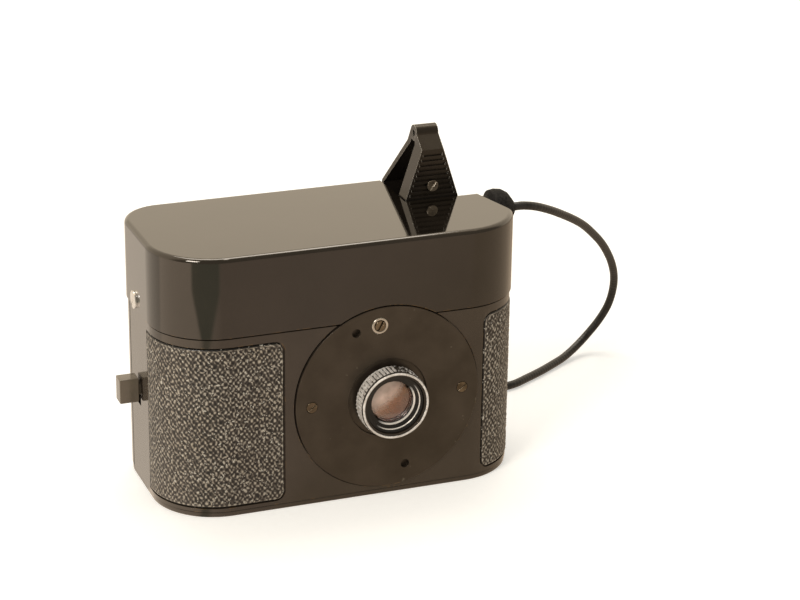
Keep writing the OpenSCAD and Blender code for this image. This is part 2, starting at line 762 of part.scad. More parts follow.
// Spiral spring, from the arbor out to the drum's wall
module mainspring() {
    turns = 7;
    steps = turns*18;
    t = 0.25;
    r0 = arbor_r + 0.7;
    r1 = drum_r - 0.8 - 0.3;
    radius = function (k) r0 + (r1 - r0)*k/steps;
    side = function (d) [for (k = [0 : steps]) (radius(k) + d)*[cos(k*20), sin(k*20)]];
    out = side(t/2);
    in = side(-t/2);
    color("steelblue") place() translate([-barrel_x, barrel_y, barrel_wheel_z + wheel_t])
        linear_extrude(barrel_h - 2) polygon(concat(out, [for (k = [steps : -1 : 0]) in[k]]));
}

module centre_wheel() {
    color([0.75, 0.65, 0.4]) place() translate([centre_x, barrel_y, 0]) {
        translate([0, 0, centre_wheel_z]) linear_extrude(wheel_t) gear_outline(centre_teeth, gear_m);
        translate([0, 0, centre_wheel_z]) linear_extrude(barrel_wheel_z + wheel_t - centre_wheel_z)
            rotate(180 + 180/pinion_teeth) gear_outline(pinion_teeth, gear_m);
        translate([0, 0, move_z]) cylinder(r = 0.6, h = bridge_z + bridge_t - move_z);
        translate([0, 0, barrel_wheel_z]) cylinder(r = 1, h = bridge_z - barrel_wheel_z - 0.3);
    }
}

// Governor arbor: pinion below, two air vanes above
module governor() {
    color([0.75, 0.65, 0.4]) place() translate([governor_x, barrel_y, 0]) {
        translate([0, 0, centre_wheel_z - 0.1]) linear_extrude(wheel_t + 0.6)
            rotate(180 + 180/pinion_teeth) gear_outline(pinion_teeth, gear_m);
        translate([0, 0, move_z]) cylinder(r = 0.6, h = bridge_z + bridge_t - move_z);
        translate([0, 0, centre_wheel_z]) cylinder(r = 1, h = bridge_z - centre_wheel_z - 0.3);
        translate([-4.2, -0.25, barrel_wheel_z + 2]) cube([8.4, 0.5, 6]);
    }
}

// Angle bracket on the recess floor, with an ear each side of the lever's hub
module lever_bracket() {
    color([0.15, 0.15, 0.15]) place() difference() {
        union() {
            block([lever_x - ear_x1, recess_y + 0.4, deck_z],
                [lever_x + ear_x1, recess_y + 6.4, deck_z + 0.8]);
            for (s = [-1, 1]) translate([s > 0 ? lever_x + ear_x0 : lever_x - ear_x1, recess_y + 0.6, deck_z])
                cube([ear_t, 4, 5.4]);
        }
        rod_x(pivot_y, pivot_z, pivot_r, lever_x - 20, lever_x + 20);
    }
}

module lever_pin() {
    color("silver") place() rod_x(pivot_y, pivot_z, pivot_r, lever_x - ear_x1 - 0.2, lever_x + ear_x1 + 0.2);
}

// Outline of the lever seen from the front: pad, bow and hub
module lever_front(extra) {
    slope = (pad_w - pad_top_w)/2/pad_h;
    low = pad_w/2;
    translate([lever_x, 0, 0]) rotate([90, 0, 0]) translate([0, 0, -body_d - 5]) linear_extrude(body_d + 10)
        polygon([[-low, pad_z0], [-low, body_h], [-pad_top_w/2 - extra, pad_z1],
            [-pad_top_w/2 - extra, body_h + bow_h + 1], [pad_top_w/2 + extra, body_h + bow_h + 1],
            [pad_top_w/2 + extra, pad_z1], [low, body_h], [low, pad_z0],
            [hub_w/2, pad_z0], [hub_w/2, 0], [-hub_w/2, 0], [-hub_w/2, pad_z0]]);
}

// Extrudes an outline given as (y, z) points across the lever
module across(points) {
    translate([lever_x - 15, 0, 0]) rotate([90, 0, 90]) linear_extrude(30) polygon(points);
}

// Ribbed pad, hub and the folded bow behind them
module release_lever() {
    apex_r = 1.7;
    apex_y = bow_y + apex_r;
    apex_z = body_h + bow_h - apex_r;
    rib_step = (pad_h - 0.9)/pad_ribs;
    color([0.12, 0.12, 0.12]) place() {
        difference() {
            intersection() {
                union() {
                    across([[pad_y, pad_z0], [pad_y, pad_z1], [bow_y, pad_z1 + 2.4], [bow_y, pad_z0 - 4],
                        [pad_y, pad_z0 - 4]]);
                    rod_x(pivot_y, pivot_z, 1.9, lever_x - hub_w/2, lever_x + hub_w/2);
                }
                lever_front(0);
            }
            pad_panel(rib_step);
            rod_x(pivot_y, pivot_z, pivot_r + fit_gap, lever_x - 20, lever_x + 20);
            rod_y(lever_x, body_h + 2.7, 0.6, 0, pad_y + 2);
            block([lever_x - 10, 0, 0], [lever_x + 10, 60, deck_z + 1.2]);
        }
        intersection() {
            difference() {
                union() {
                    across([[bow_y, pad_z0], [bow_y, apex_z], [apex_y, body_h + bow_h],
                        [apex_y + apex_r*0.8, apex_z + apex_r*0.6], [foot_y, body_h + 0.3], [foot_y, foot_z],
                        [pin_y - 2, foot_z], [pin_y - 2, foot_z + bow_t], [foot_y - bow_t, foot_z + bow_t],
                        [foot_y - bow_t, body_h], [apex_y + 0.5, apex_z - 0.4], [bow_y + bow_t, apex_z - 0.8],
                        [bow_y + bow_t, pad_z0]]);
                    rod_x(apex_y, apex_z, apex_r, lever_x - 15, lever_x + 15);
                }
                rod_x(apex_y, apex_z, apex_r - bow_t, lever_x - 20, lever_x + 20);
            }
            lever_front(0);
        }
    }
}

// Sunk panel on the pad's front with the ribs left standing
module pad_panel(rib_step) {
    depth = 0.45;
    for (k = [0 : pad_ribs - 1]) {
        z = body_h + 0.55 + k*rib_step;
        w = pad_w/2 - (z - body_h)*(pad_w - pad_top_w)/2/pad_h - 0.75;
        block([lever_x - w, pad_y - 1, z], [lever_x + w, pad_y + depth, z + rib_step*0.5]);
    }
}

module pad_screw() {
    color("silver") place() translate([lever_x, pad_y - 0.5, body_h + 2.7]) rotate([0, 0, 90])
        slotted_screw(1.2, 0.5, 0.6, 2.4, 0.3, 40);
}

module release_pin() {
    color("silver") place() {
        rod_z(lever_x, pin_y, pin_r, move_z + move_t + 1.8, foot_z - air_gap);
        rod_z(lever_x, pin_y, pin_r + 0.4, deck_z + 2.2, foot_z - air_gap);
    }
}

module side_catch() {
    x_in = -inner_x + air_gap;
    color([0.13, 0.12, 0.11]) place() {
        block([-body_w/2 - catch_out, catch_y - 1.6, catch_z - 2.6],
            [-low_w/2 - air_gap, catch_y + 1.6, catch_z + 2.6]);
        block([-low_w/2 - air_gap - cut, catch_y - catch_neck/2, catch_z - catch_neck/2],
            [x_in + cut, catch_y + catch_neck/2, catch_z + catch_neck/2]);
        block([x_in, catch_y - 4, catch_z - 3.4], [x_in + catch_plate_t, catch_pin_y + 0.9, catch_z + 3.4]);
        rod_x(catch_pin_y, catch_pin_z, catch_pin_r, x_in + catch_plate_t - cut,
            -inner_x + tab_in + tab_t + 0.2);
    }
}

// Back of the case, pulled off to the rear, with a hooked tab at each side
module back_cover() {
    color([0.26, 0.24, 0.21]) place() {
        difference() {
            slab(cover_step, base_t + air_gap, seam_z - air_gap);
            slab(cover_step + shell_t - 0.2, floor_z + 0.6, seam_z + 1);
            translate([-body_w, -1, 0]) cube([2*body_w, split_y + air_gap + 1, body_h]);
        }
        for (s = [-1, 1]) mirror([s > 0 ? 1 : 0, 0, 0]) difference() {
            union() {
                block([-inner_x + tab_in, split_y - 2.4, tab_z0],
                    [-inner_x + tab_in + tab_t, split_y + 3, tab_z0 + 6]);
                block([-inner_x - 0.6, split_y + 1.6, tab_z0],
                    [-inner_x + tab_in + tab_t, split_y + 3, tab_z0 + 6]);
            }
            block([-inner_x, catch_pin_y - catch_pin_r - air_gap, tab_z0 - 1],
                [0, catch_pin_y + catch_pin_r + air_gap, catch_pin_z + catch_pin_r + air_gap]);
        }
    }
}

module back_leatherette() {
    color([0.43, 0.40, 0.35]) place() intersection() {
        block([-body_w/2 + rear_r - cover_step, body_d - cover_step, panel_z0 + 0.6],
            [body_w/2 - rear_r + cover_step, body_d - cover_step + leather_t - 0.1, panel_z1]);
        slab(-0.1, 0, seam_z);
    }
}

module pressure_plate() {
    color([0.2, 0.2, 0.2]) place() block([lens_x - frame_w/2 - 2, film_y + film_t/2 + 0.4, film_z0 + 0.3],
        [lens_x + frame_w/2 + 2, film_y + film_t/2 + 1.2, film_z1 - 0.3]);
}

// Two bowed leaf springs between the back and the pressure plate
module pressure_springs() {
    y0 = film_y + film_t/2 + 1.2;
    y1 = body_d - cover_step - shell_t + 0.2;
    color("steelblue") place() for (z = [film_z0 + 4, film_z1 - 6]) translate([lens_x, 0, z])
        linear_extrude(2) for (s = [-1, 1]) polygon([[0, y1 - 0.3], [0, y1], [s*2, y1],
            [s*9, y0 + 0.2], [s*11, y0 + 0.2], [s*11, y0], [s*8.8, y0], [s*1.8, y1 - 0.3]]);
}

// Round boot that the release cable leaves by, with the foot that holds it
module cable_gland() {
    color([0.4, 0.38, 0.36]) place() {
        translate([gland_x0, gland_y, gland_z]) rotate([0, 90, 0]) rotate_extrude() polygon([
            [0, 0], [2.6, 0], [3, 0.5], [3, 6.6], [4.1, 7.2], [4.3, 8.4], [4.1, 9.8],
            [3.4, 11], [2.2, 11.9], [1.5, gland_x1 - gland_x0], [0, gland_x1 - gland_x0]]);
        block([gland_x0 + 0.4, gland_y - 2.2, deck_z], [gland_x0 + 4.2, gland_y + 2.2, gland_z]);
    }
}

// Points of the cable from the boot round to the coil, from the front face
cable_route = [[44.8, 25.4, 49.4], [47.2, 25.4, 49.4], [50.6, 26, 48.6], [55, 28, 46.6], [59.5, 31, 44],
    [63.6, 34, 41.4], [67.4, 37.2, 38.6], [71.2, 40.4, 35.2], [74.8, 43.4, 31.6], [78, 46.4, 27.6],
    [80.6, 49.2, 23.6], [82.4, 51.6, 19.6], [83.2, 53.6, 15.4], [82.8, 55, 11.2], [81, 55.8, 7.4],
    [78, 55.4, 4.4], [74.4, 53.8, 2.4], [70.4, 51.4, 1.3], [66.2, 48.8, 1], [62, 46.2, 0.9],
    [57.8, 43.8, 0.9], [53.6, 41.6, 0.9], [49.6, 41, 0.9], [46, 42.6, 0.9], [43.4, 45.6, 0.9],
    [41, 49, 0.9], [37.8, 52, 0.9], [33.8, 54.2, 0.9], [29.4, 55.6, 0.9], [25.2, 56.4, 0.9],
    [22.4, 56.7, 0.9], [19.9, 56.8, 0.9]];
cable_sides = 8;

// Middle of the coil, its outer loop, its inner loop and the height between layers
coil_x = 17.5;
coil_y = 69;
coil_out = 12.2;
coil_in = 7.6;
coil_layer = 2.3;
coil_loops = 4;
coil_rings = 24;
coil_sides = 6;
lead = 2.4;
coil_z = cable_d/2;
barrel_len = 24;
plunger_r = 3.6;
plunger_rod_r = 1.2;
plunger_y = coil_y - coil_out - 0.1;
barrel_x1 = coil_x - 11;

// Tangent at point k of a path, and rings square to the path
function tangent(p, k) = unit(p[min(k + 1, len(p) - 1)] - p[max(k - 1, 0)]);
function side_of(t) = unit(cross(t, abs(t[2]) > 0.9 ? [1, 0, 0] : [0, 0, 1]));
function ring_at(p, k, r, n) = let (t = tangent(p, k), u = side_of(t), v = cross(u, t))
    [for (j = [0 : n - 1]) p[k] + r*(cos(360*(j + 0.5)/n)*u + sin(360*(j + 0.5)/n)*v)];

// Closed tube swept along a path, one polyhedron
module tube(p, r, n) {
    last = len(p) - 1;
    points = [for (k = [0 : last]) each ring_at(p, k, r, n)];
    sides = [for (k = [0 : last - 1], j = [0 : n - 1]) let (a = k*n + j, b = k*n + (j + 1)%n)
        each [[a, b, b + n], [a, b + n, a + n]]];
    ends = [[for (j = [n - 1 : -1 : 0]) j], [for (j = [0 : n - 1]) last*n + j]];
    polyhedron(points = points, faces = concat(sides, ends), convexity = 6);
}

module cable() {
    color([0.1, 0.1, 0.1]) place() tube(cable_route, cable_d/2, cable_sides);
}

// Loops wind in on the table, climb at the turn, and wind out on top
function coil_radius(u) = u < 0.5 ? coil_out + (coil_in - coil_out)*2*u
    : coil_in + (coil_out - coil_in)*2*(u - 0.5);
function coil_height(u) = let (f = 0.25/coil_loops, a = (u - 0.5 + f)/(2*f))
    coil_z + coil_layer*(a < 0 ? 0 : a > 1 ? 1 : a*a*(3 - 2*a));
function coil_point(u) = let (a = -90 - 360*coil_loops*u, r = coil_radius(u))
    [coil_x + r*cos(a), coil_y + r*sin(a), coil_height(u)];
coil_steps = coil_loops*coil_rings;
coil_path = concat([[coil_x + lead, coil_y - coil_out, coil_z], [coil_x + lead/2, coil_y - coil_out, coil_z]],
    [for (k = [0 : coil_steps]) coil_point(k/coil_steps)],
    [for (k = [1 : 6]) let (f = k/6) [coil_x - k*1.8 - 0.2, plunger_y,
        coil_z + coil_layer + (plunger_r - coil_z - coil_layer)*f*f*(3 - 2*f)]]);

// Least gap of the coil's tube to itself, measured between points a third of a loop apart or more
coil_gap = min([for (i = [0 : len(coil_path) - 1], j = [0 : len(coil_path) - 1])
    if (j - i > coil_rings/3) norm(coil_path[i] - coil_path[j])]) - cable_d;
echo(coil_gap = coil_gap);

module cable_coil() {
    color([0.1, 0.1, 0.1]) place() tube(coil_path, cable_d/2, coil_sides);
}

// Twist tie round the coil's loops
module cable_tie() {
    x0 = coil_in - cable_d/2 - 0.5;
    x1 = coil_out + cable_d/2 + 0.5;
    top = coil_z + coil_layer + cable_d/2 + 0.3;
    color([0.15, 0.15, 0.15]) place() translate([coil_x, coil_y, 0]) difference() {
        block([x0 - 0.7, -1.5, 0], [x1 + 0.7, 1.5, top + 0.7]);
        block([x0, -2, -1], [x1, 2, top]);
    }
}

// Barrel of the hand plunger, with its finger flange, lying on the table
module plunger_barrel() {
    flange_x = barrel_x1 - barrel_len;
    color("silver") place() difference() {
        union() {
            rod_x(plunger_y, plunger_r, 2.6, barrel_x1 - 8, barrel_x1);
            rod_x(plunger_y, plunger_r, 2.1, flange_x, barrel_x1 - 8);
            rod_x(plunger_y, plunger_r, plunger_r, flange_x, flange_x + 1.4);
        }
        rod_x(plunger_y, plunger_r, plunger_rod_r + fit_gap, flange_x - 1, flange_x + 16);
    }
}

module plunger_button() {
    flange_x = barrel_x1 - barrel_len;
    color("silver") place() {
        rod_x(plunger_y, plunger_r, plunger_rod_r, flange_x - 7, flange_x + 9);
        rod_x(plunger_y, plunger_r, 3, flange_x - 8.5, flange_x - 7);
    }
}

body_shell();
base_plate();
top_cover();
cover_screws();
left_leatherette();
right_leatherette();
lens_plate();
plate_screws();
spindle_collar();
setting_spindle();
lens_tube();
front_ring();
front_glass();
middle_glass();
rear_glass();
rear_cell();
cell_plate();
stop_disc();
shutter_disc();
light_box();
film_gate();
film();
supply_can();
supply_spool();
take_up_spool();
key_cup();
winding_arbor();
key_bow();
movement_plate();
movement_bridge();
pillars();
spring_barrel();
mainspring();
centre_wheel();
governor();
lever_bracket();
lever_pin();
release_lever();
pad_screw();
release_pin();
side_catch();
back_cover();
back_leatherette();
pressure_plate();
pressure_springs();
cable_gland();
cable();
cable_coil();
cable_tie();
plunger_barrel();
plunger_button();
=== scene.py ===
"""Looks of the spring-motor spy camera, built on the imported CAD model.

The script follows the object as it is put together: the view and the stage, the release
cable, the case, its coverings, the lens, the release lever, the catch, and the works inside.
Lengths are metres in the part's own frame, except where a name ends in _mm.
"""

import math

import bmesh
import bpy
from mathutils import Matrix, Vector, noise


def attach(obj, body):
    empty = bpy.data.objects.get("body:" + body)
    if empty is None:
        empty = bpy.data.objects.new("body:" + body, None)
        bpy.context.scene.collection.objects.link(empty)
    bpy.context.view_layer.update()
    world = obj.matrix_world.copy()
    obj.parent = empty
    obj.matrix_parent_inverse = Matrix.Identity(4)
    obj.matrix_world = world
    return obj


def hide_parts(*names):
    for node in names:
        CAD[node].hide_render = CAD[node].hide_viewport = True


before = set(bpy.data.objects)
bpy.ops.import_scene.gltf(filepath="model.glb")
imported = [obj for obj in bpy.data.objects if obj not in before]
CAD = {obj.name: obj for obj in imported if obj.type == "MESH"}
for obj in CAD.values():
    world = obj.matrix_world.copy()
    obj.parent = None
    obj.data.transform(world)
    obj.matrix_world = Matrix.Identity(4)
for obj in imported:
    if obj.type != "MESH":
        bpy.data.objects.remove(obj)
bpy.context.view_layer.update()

# ---------------------------------------------------------------------------------------
# View and stage: a plain pale sweep under soft studio light, seen from the photograph's side.
# ---------------------------------------------------------------------------------------

CASE_DEPTH_MM = 36.0


def at(x_mm, y_mm, z_mm):
    """Point given in millimetres right of the middle, behind the front face and above the table."""
    return Vector((x_mm, y_mm - CASE_DEPTH_MM / 2, z_mm)) / 1000


def linear(hex_colour):
    """Linear red, green, blue and alpha of an sRGB hex colour."""
    parts = [int(hex_colour[k:k + 2], 16) / 255 for k in (1, 3, 5)]
    return tuple(c / 12.92 if c < 0.04045 else ((c + 0.055) / 1.055) ** 2.4 for c in parts) + (1.0,)


def output_of(source):
    """An output as it is, or a node's first output."""
    return source.outputs[0] if isinstance(source, bpy.types.Node) else source


def add(tree, kind, links=None, **settings):
    """A node of that kind. Settings name its properties, or its sockets as s_NAME or s_NUMBER,
    and links name the sockets that another node feeds, by its first output or by the output
    that is given. A Map Range's sockets 1 to 4 are the two ends of the values that come in
    and the two ends of those that go out."""
    node = tree.nodes.new("ShaderNode" + kind)
    for key, value in settings.items():
        if not key.startswith("s_"):
            setattr(node, key, value)
    for key, value in settings.items():
        if key.startswith("s_"):
            label = key[2:].replace("_", " ")
            node.inputs[int(label) if label.isdigit() else label].default_value = value
    for key, source in (links or {}).items():
        tree.links.new(output_of(source), node.inputs[key])
    return node


def blank_material(name):
    """An empty node material, with its tree, its shader and the point on the object."""
    material = bpy.data.materials.new(name)
    material.use_nodes = True
    material.node_tree.nodes.clear()
    shader = add(material.node_tree, "BsdfPrincipled")
    add(material.node_tree, "OutputMaterial", {"Surface": shader})
    place = add(material.node_tree, "TexCoord").outputs["Object"]
    return material, material.node_tree, shader, place


def feed(shader, links, **values):
    """Links nodes or outputs to a shader's sockets, and sets others, with _ for a space."""
    for socket, source in links.items():
        shader.id_data.links.new(output_of(source), shader.inputs[socket])
    for key, value in values.items():
        shader.inputs[key.replace("_", " ")].default_value = value


def set_stops(ramp, *stops):
    """Gives a colour ramp its stops, each a position and an sRGB hex colour."""
    elements = ramp.color_ramp.elements
    while len(elements) < len(stops):
        elements.new(1.0)
    for element, (position, shade) in zip(elements, stops):
        element.position, element.color = position, linear(shade)


def new_piece(name, mesh, material, body=None, replaces=(), smooth_degrees=35):
    """A piece of the scene from a finished mesh, riding on a body and standing for CAD nodes."""
    mesh.name = name
    piece = bpy.data.objects.new(name, mesh)
    bpy.context.scene.collection.objects.link(piece)
    mesh.materials.clear()
    mesh.materials.append(material)
    mesh.polygons.foreach_set("use_smooth", [True] * len(mesh.polygons))
    mesh.set_sharp_from_angle(angle=math.radians(smooth_degrees))
    if body:
        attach(piece, body)
    if replaces:
        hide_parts(*replaces)
    return piece


EYE = Vector((-0.1561, -0.4457, 0.2208))
AIM = at(9.8, 0, 42.1)
ROLL, FOCAL_MM, SENSOR_MM = math.radians(0.78), 111.7, 36
ahead = (AIM - EYE).normalized()
level_right = ahead.cross(Vector((0, 0, 1))).normalized()
camera_right = level_right * math.cos(ROLL) + level_right.cross(ahead) * math.sin(ROLL)
camera_up = camera_right.cross(ahead)
camera = bpy.data.objects.new("camera", bpy.data.cameras.new("camera"))
bpy.context.scene.collection.objects.link(camera)
axes = Matrix((camera_right, camera_up, -ahead)).transposed().to_4x4()
camera.matrix_world = Matrix.Translation(EYE) @ axes
camera.data.sensor_width, camera.data.lens = SENSOR_MM, FOCAL_MM
camera.data.clip_start = 0.01
bpy.context.scene.camera = camera
bpy.context.scene.view_settings.view_transform = "Standard"

# Seamless paper: matt, and white wherever the camera looks at it. To gloss it glows with a painted
# reflection: cream behind the object, and painted shade in front and to the right, which stands for the
# camera and the rest of the room. The turn is taken round the case's front left corner.
FLOOR_HALF, FLOOR_GLOW, TURN_MIDDLE = 2.2, 0.5, (-0.025, -0.0045, 0.0)
floor_mesh = bpy.data.meshes.new("paper_sweep")
floor_mesh.from_pydata([(-FLOOR_HALF, -FLOOR_HALF, 0), (FLOOR_HALF, -FLOOR_HALF, 0),
                        (FLOOR_HALF, FLOOR_HALF, 0), (-FLOOR_HALF, FLOOR_HALF, 0)], [], [(0, 1, 2, 3)])
paper, tree, shader, place = blank_material("seamless_paper")
fibres = add(tree, "TexNoise", {"Vector": place}, s_Scale=900.0, s_Detail=3.0)
tone = add(tree, "ValToRGB", {"Fac": fibres})
set_stops(tone, (0.0, "#E4E1DB"), (1.0, "#EFEDE8"))
ray = add(tree, "LightPath")
glow = add(tree, "Math", {0: ray.outputs["Is Camera Ray"]}, operation="MULTIPLY", s_1=FLOOR_GLOW)
feed(shader, {"Base Color": tone, "Emission Color": tone, "Emission Strength": glow}, Roughness=0.85,
     Specular_IOR_Level=0.2)
centred = add(tree, "VectorMath", {0: place}, operation="SUBTRACT", s_1=TURN_MIDDLE)
axes = add(tree, "SeparateXYZ", {"Vector": centred})
turn = add(tree, "Math", {0: axes.outputs["X"], 1: axes.outputs["Y"]}, operation="ARCTAN2")
share = add(tree, "MapRange", {"Value": turn}, s_1=-math.pi, s_2=math.pi)
mirrored = add(tree, "ValToRGB", {"Fac": share})
# From straight in front, round by the left to straight behind at a half, and on by the right.
TURN_TONES = [(0.0, "#AE9C8C"), (0.05, "#C8B6A4"), (0.12, "#E2D0BC"), (0.297, "#E2D0BC"),
              (0.309, "#C2B5A5"), (0.55, "#C2B5A5"), (0.62, "#A3917C"), (0.88, "#A3917C"),
              (0.93, "#AE9C8C")]
TURN_STRENGTH = 1.6
set_stops(mirrored, *TURN_TONES)
# A painted shadow lies in front and to the left, dark in gloss, wider the farther it is from the case.
# Its two sides are turns that change between a near and a far reach, in metres.
SHADE_REACH, SHADE_LEFT, SHADE_RIGHT = (0.1, 0.14), (0.088, 0.137), (0.06, 0.01)
flat = add(tree, "CombineXYZ", {"X": axes.outputs["X"], "Y": axes.outputs["Y"]})
reach = add(tree, "VectorMath", {0: flat}, operation="LENGTH")
taper, near_side = [add(tree, "MapRange", {"Value": reach.outputs["Value"]}, s_1=SHADE_REACH[0],
                        s_2=SHADE_REACH[1], s_3=side[0], s_4=side[1])
                    for side in (SHADE_LEFT, SHADE_RIGHT)]
short = add(tree, "Math", {0: taper, 1: share}, operation="SUBTRACT")
inside = add(tree, "MapRange", {"Value": short}, s_1=-0.004, s_2=0.008)
beyond = add(tree, "Math", {0: share, 1: near_side}, operation="SUBTRACT")
clear = add(tree, "MapRange", {"Value": beyond}, s_1=-0.008, s_2=0.008)
painted_shade = add(tree, "Math", {0: inside, 1: clear}, operation="MULTIPLY")
toned = add(tree, "Mix", {0: painted_shade, 6: mirrored}, data_type="RGBA", s_7=linear("#8A8878"))
# The paper glows in these tones for gloss rays only: a painted reflection, with the painted shadow in
# it.
cream = add(tree, "Emission", {"Color": toned.outputs[2]}, s_Strength=TURN_STRENGTH)
surface = add(tree, "MixShader", {0: ray.outputs["Is Glossy Ray"], 1: shader, 2: cream})
tree.links.new(surface.outputs[0], tree.nodes["Material Output"].inputs["Surface"])
new_piece("paper_sweep", floor_mesh, paper)

# The world is a pale room: plain light on the object, white to the camera, and cream in
# gloss, brighter behind the object than on the camera's side.
ROOM_LIGHT, ROOM_GLOSS, NEAR_GLOSS = 0.62, 1.12, 0.35
world = bpy.data.worlds.new("pale_room")
bpy.context.scene.world = world
world.use_nodes = True
tree = world.node_tree
tree.nodes.clear()
ray = add(tree, "LightPath")
axes = add(tree, "SeparateXYZ", {"Vector": add(tree, "TexCoord").outputs["Generated"]})
facing = add(tree, "MapRange", {"Value": axes.outputs["Y"]}, s_1=-0.25, s_2=0.05, s_3=NEAR_GLOSS,
             s_4=ROOM_GLOSS)
room = add(tree, "Background", s_Color=linear("#F3F1EC"), s_Strength=ROOM_LIGHT)
cream = add(tree, "Background", {"Strength": facing}, s_Color=linear("#FAE9CF"))
white = add(tree, "Background", s_Color=linear("#FFFFFF"), s_Strength=1.0)
mirrored = add(tree, "MixShader", {0: ray.outputs["Is Glossy Ray"], 1: room, 2: cream})
seen = add(tree, "Math", {0: ray.outputs["Is Camera Ray"], 1: ray.outputs["Is Transmission Ray"]},
           operation="MAXIMUM")
mixed = add(tree, "MixShader", {0: seen, 1: mirrored, 2: white})
add(tree, "OutputWorld", {"Surface": mixed})


def softbox(name, place, target, width, height, power):
    """A large soft lamp that looks from its place at the target."""
    lamp = bpy.data.lights.new(name, "AREA")
    lamp.shape = "RECTANGLE"
    lamp.size, lamp.size_y, lamp.energy = width, height, power
    lamp.color = linear("#FFF9F0")[:3]
    holder = bpy.data.objects.new(name, lamp)
    bpy.context.scene.collection.objects.link(holder)
    holder.location = place
    holder.rotation_euler = (Vector(target) - Vector(place)).to_track_quat("-Z", "Y").to_euler()


softbox("key_softbox", (-0.62, -0.46, 0.72), (0, 0, 0.03), 0.3, 0.3, 4.5)
softbox("top_softbox", (0.1, 0.5, 1.3), (0, 0, 0.05), 0.8, 0.6, 7.0)

# ---------------------------------------------------------------------------------------
# Release cable: a wire in a tight steel coil under a smooth black PVC sleeve, 1.8 mm
# thick. It leaves the boot, curves round behind the case and ends wound in a flat coil,
# held by a wire tie, with a nickelled finger plunger on its end.
# ---------------------------------------------------------------------------------------

CABLE_MM = 1.8
ROUTE_MM = [
    (44.8, 25.4, 49.4), (47.2, 25.4, 49.4), (50.6, 26, 48.6), (55, 28, 46.6), (59.5, 31, 44),
    (63.6, 34, 41.4), (67.4, 37.2, 38.6), (71.2, 40.4, 35.2), (74.8, 43.4, 31.6), (78, 46.4, 27.6),
    (80.6, 49.2, 23.6), (82.4, 51.6, 19.6), (83.2, 53.6, 15.4), (82.8, 55, 11.2), (81, 55.8, 7.4),
    (78, 55.4, 4.4), (74.4, 53.8, 2.4), (70.4, 51.4, 1.3), (66.2, 48.8, 1), (62, 46.2, 0.9),
    (57.8, 43.8, 0.9), (53.6, 41.6, 0.9), (49.6, 41, 0.9), (46, 42.6, 0.9), (43.4, 45.6, 0.9),
    (41, 49, 0.9), (37.8, 52, 0.9), (33.8, 54.2, 0.9), (29.4, 55.6, 0.9), (25.2, 56.4, 0.9),
    (22.4, 56.7, 0.9), (19.9, 56.8, 0.9)]
COIL_MIDDLE_MM = (17.5, 69.0)
COIL_OUT_MM, COIL_IN_MM, COIL_LAYER_MM, COIL_LOOPS, COIL_RINGS = 12.2, 7.6, 2.3, 4, 24
COIL_LEAD_MM, COIL_EXIT_MM = 2.4, 1.8
PLUNGER_AXIS_MM = (COIL_MIDDLE_MM[1] - COIL_OUT_MM - 0.1, 3.6)


def coil_points():
    """The coil's centre line: in on the table, up at the turn, and out on top."""
    cx, cy = COIL_MIDDLE_MM
    low = CABLE_MM / 2
    points = [(cx + COIL_LEAD_MM, cy - COIL_OUT_MM, low), (cx + COIL_LEAD_MM / 2, cy - COIL_OUT_MM, low)]
    steps = COIL_LOOPS * COIL_RINGS
    climb = 0.25 / COIL_LOOPS
    for k in range(steps + 1):
        u = k / steps
        angle = math.radians(-90 - 360 * COIL_LOOPS * u)
        radius = COIL_OUT_MM + (COIL_IN_MM - COIL_OUT_MM) * (1 - abs(2 * u - 1))
        a = min(1, max(0, (u - 0.5 + climb) / (2 * climb)))
        points.append((cx + radius * math.cos(angle), cy + radius * math.sin(angle),
                       low + COIL_LAYER_MM * a * a * (3 - 2 * a)))
    for k in range(1, 7):
        f = k / 6
        points.append((cx - k * COIL_EXIT_MM - 0.2, PLUNGER_AXIS_MM[0], low + COIL_LAYER_MM
                       + (PLUNGER_AXIS_MM[1] - low - COIL_LAYER_MM) * f * f * (3 - 2 * f)))
    return points


def smoothed(points, per_step):
    """More points on a smooth line through the given ones."""
    out = []
    for k in range(len(points) - 1):
        a, b = points[max(k - 1, 0)], points[k]
        c, d = points[k + 1], points[min(k + 2, len(points) - 1)]
        for j in range(per_step):
            t = j / per_step
            out.append(0.5 * ((2 * b) + (c - a) * t + (2 * a - 5 * b + 4 * c - d) * t * t
                              + (3 * b - a - 3 * c + d) * t ** 3))
    return out + [points[-1]]


def solid_mesh(build):
    """The mesh of a closed solid, with its faces turned outward."""
    bmesh.ops.recalc_face_normals(build, faces=build.faces)
    mesh = bpy.data.meshes.new("solid")
    build.to_mesh(mesh)
    build.free()
    return mesh


def sweep(points, radius, sides):
    """A closed round tube along the points. UV is millimetres along and a share of the way round."""
    build = bmesh.new()
    uv = build.loops.layers.uv.new("uv")
    tangent = [(points[min(k + 1, len(points) - 1)] - points[max(k - 1, 0)]).normalized()
               for k in range(len(points))]
    side = tangent[0].cross(Vector((0, 0, 1))).normalized()
    rings, lengths = [], [0.0]
    for k, p in enumerate(points):
        if k:
            lengths.append(lengths[-1] + (p - points[k - 1]).length)
        side = (side - tangent[k] * side.dot(tangent[k])).normalized()
        up = side.cross(tangent[k])
        rings.append([build.verts.new(p + radius * (math.cos(2 * math.pi * j / sides) * side
                                                    + math.sin(2 * math.pi * j / sides) * up))
                      for j in range(sides)])
    for k in range(len(points) - 1):
        for j in range(sides):
            n = (j + 1) % sides
            face = build.faces.new((rings[k][j], rings[k][n], rings[k + 1][n], rings[k + 1][j]))
            for loop, u, v in zip(face.loops, (k, k, k + 1, k + 1), (j, j + 1, j + 1, j)):
                loop[uv].uv = (lengths[u] * 1000, v / sides)
    build.faces.new(reversed(rings[0]))
    build.faces.new(rings[-1])
    return solid_mesh(build)


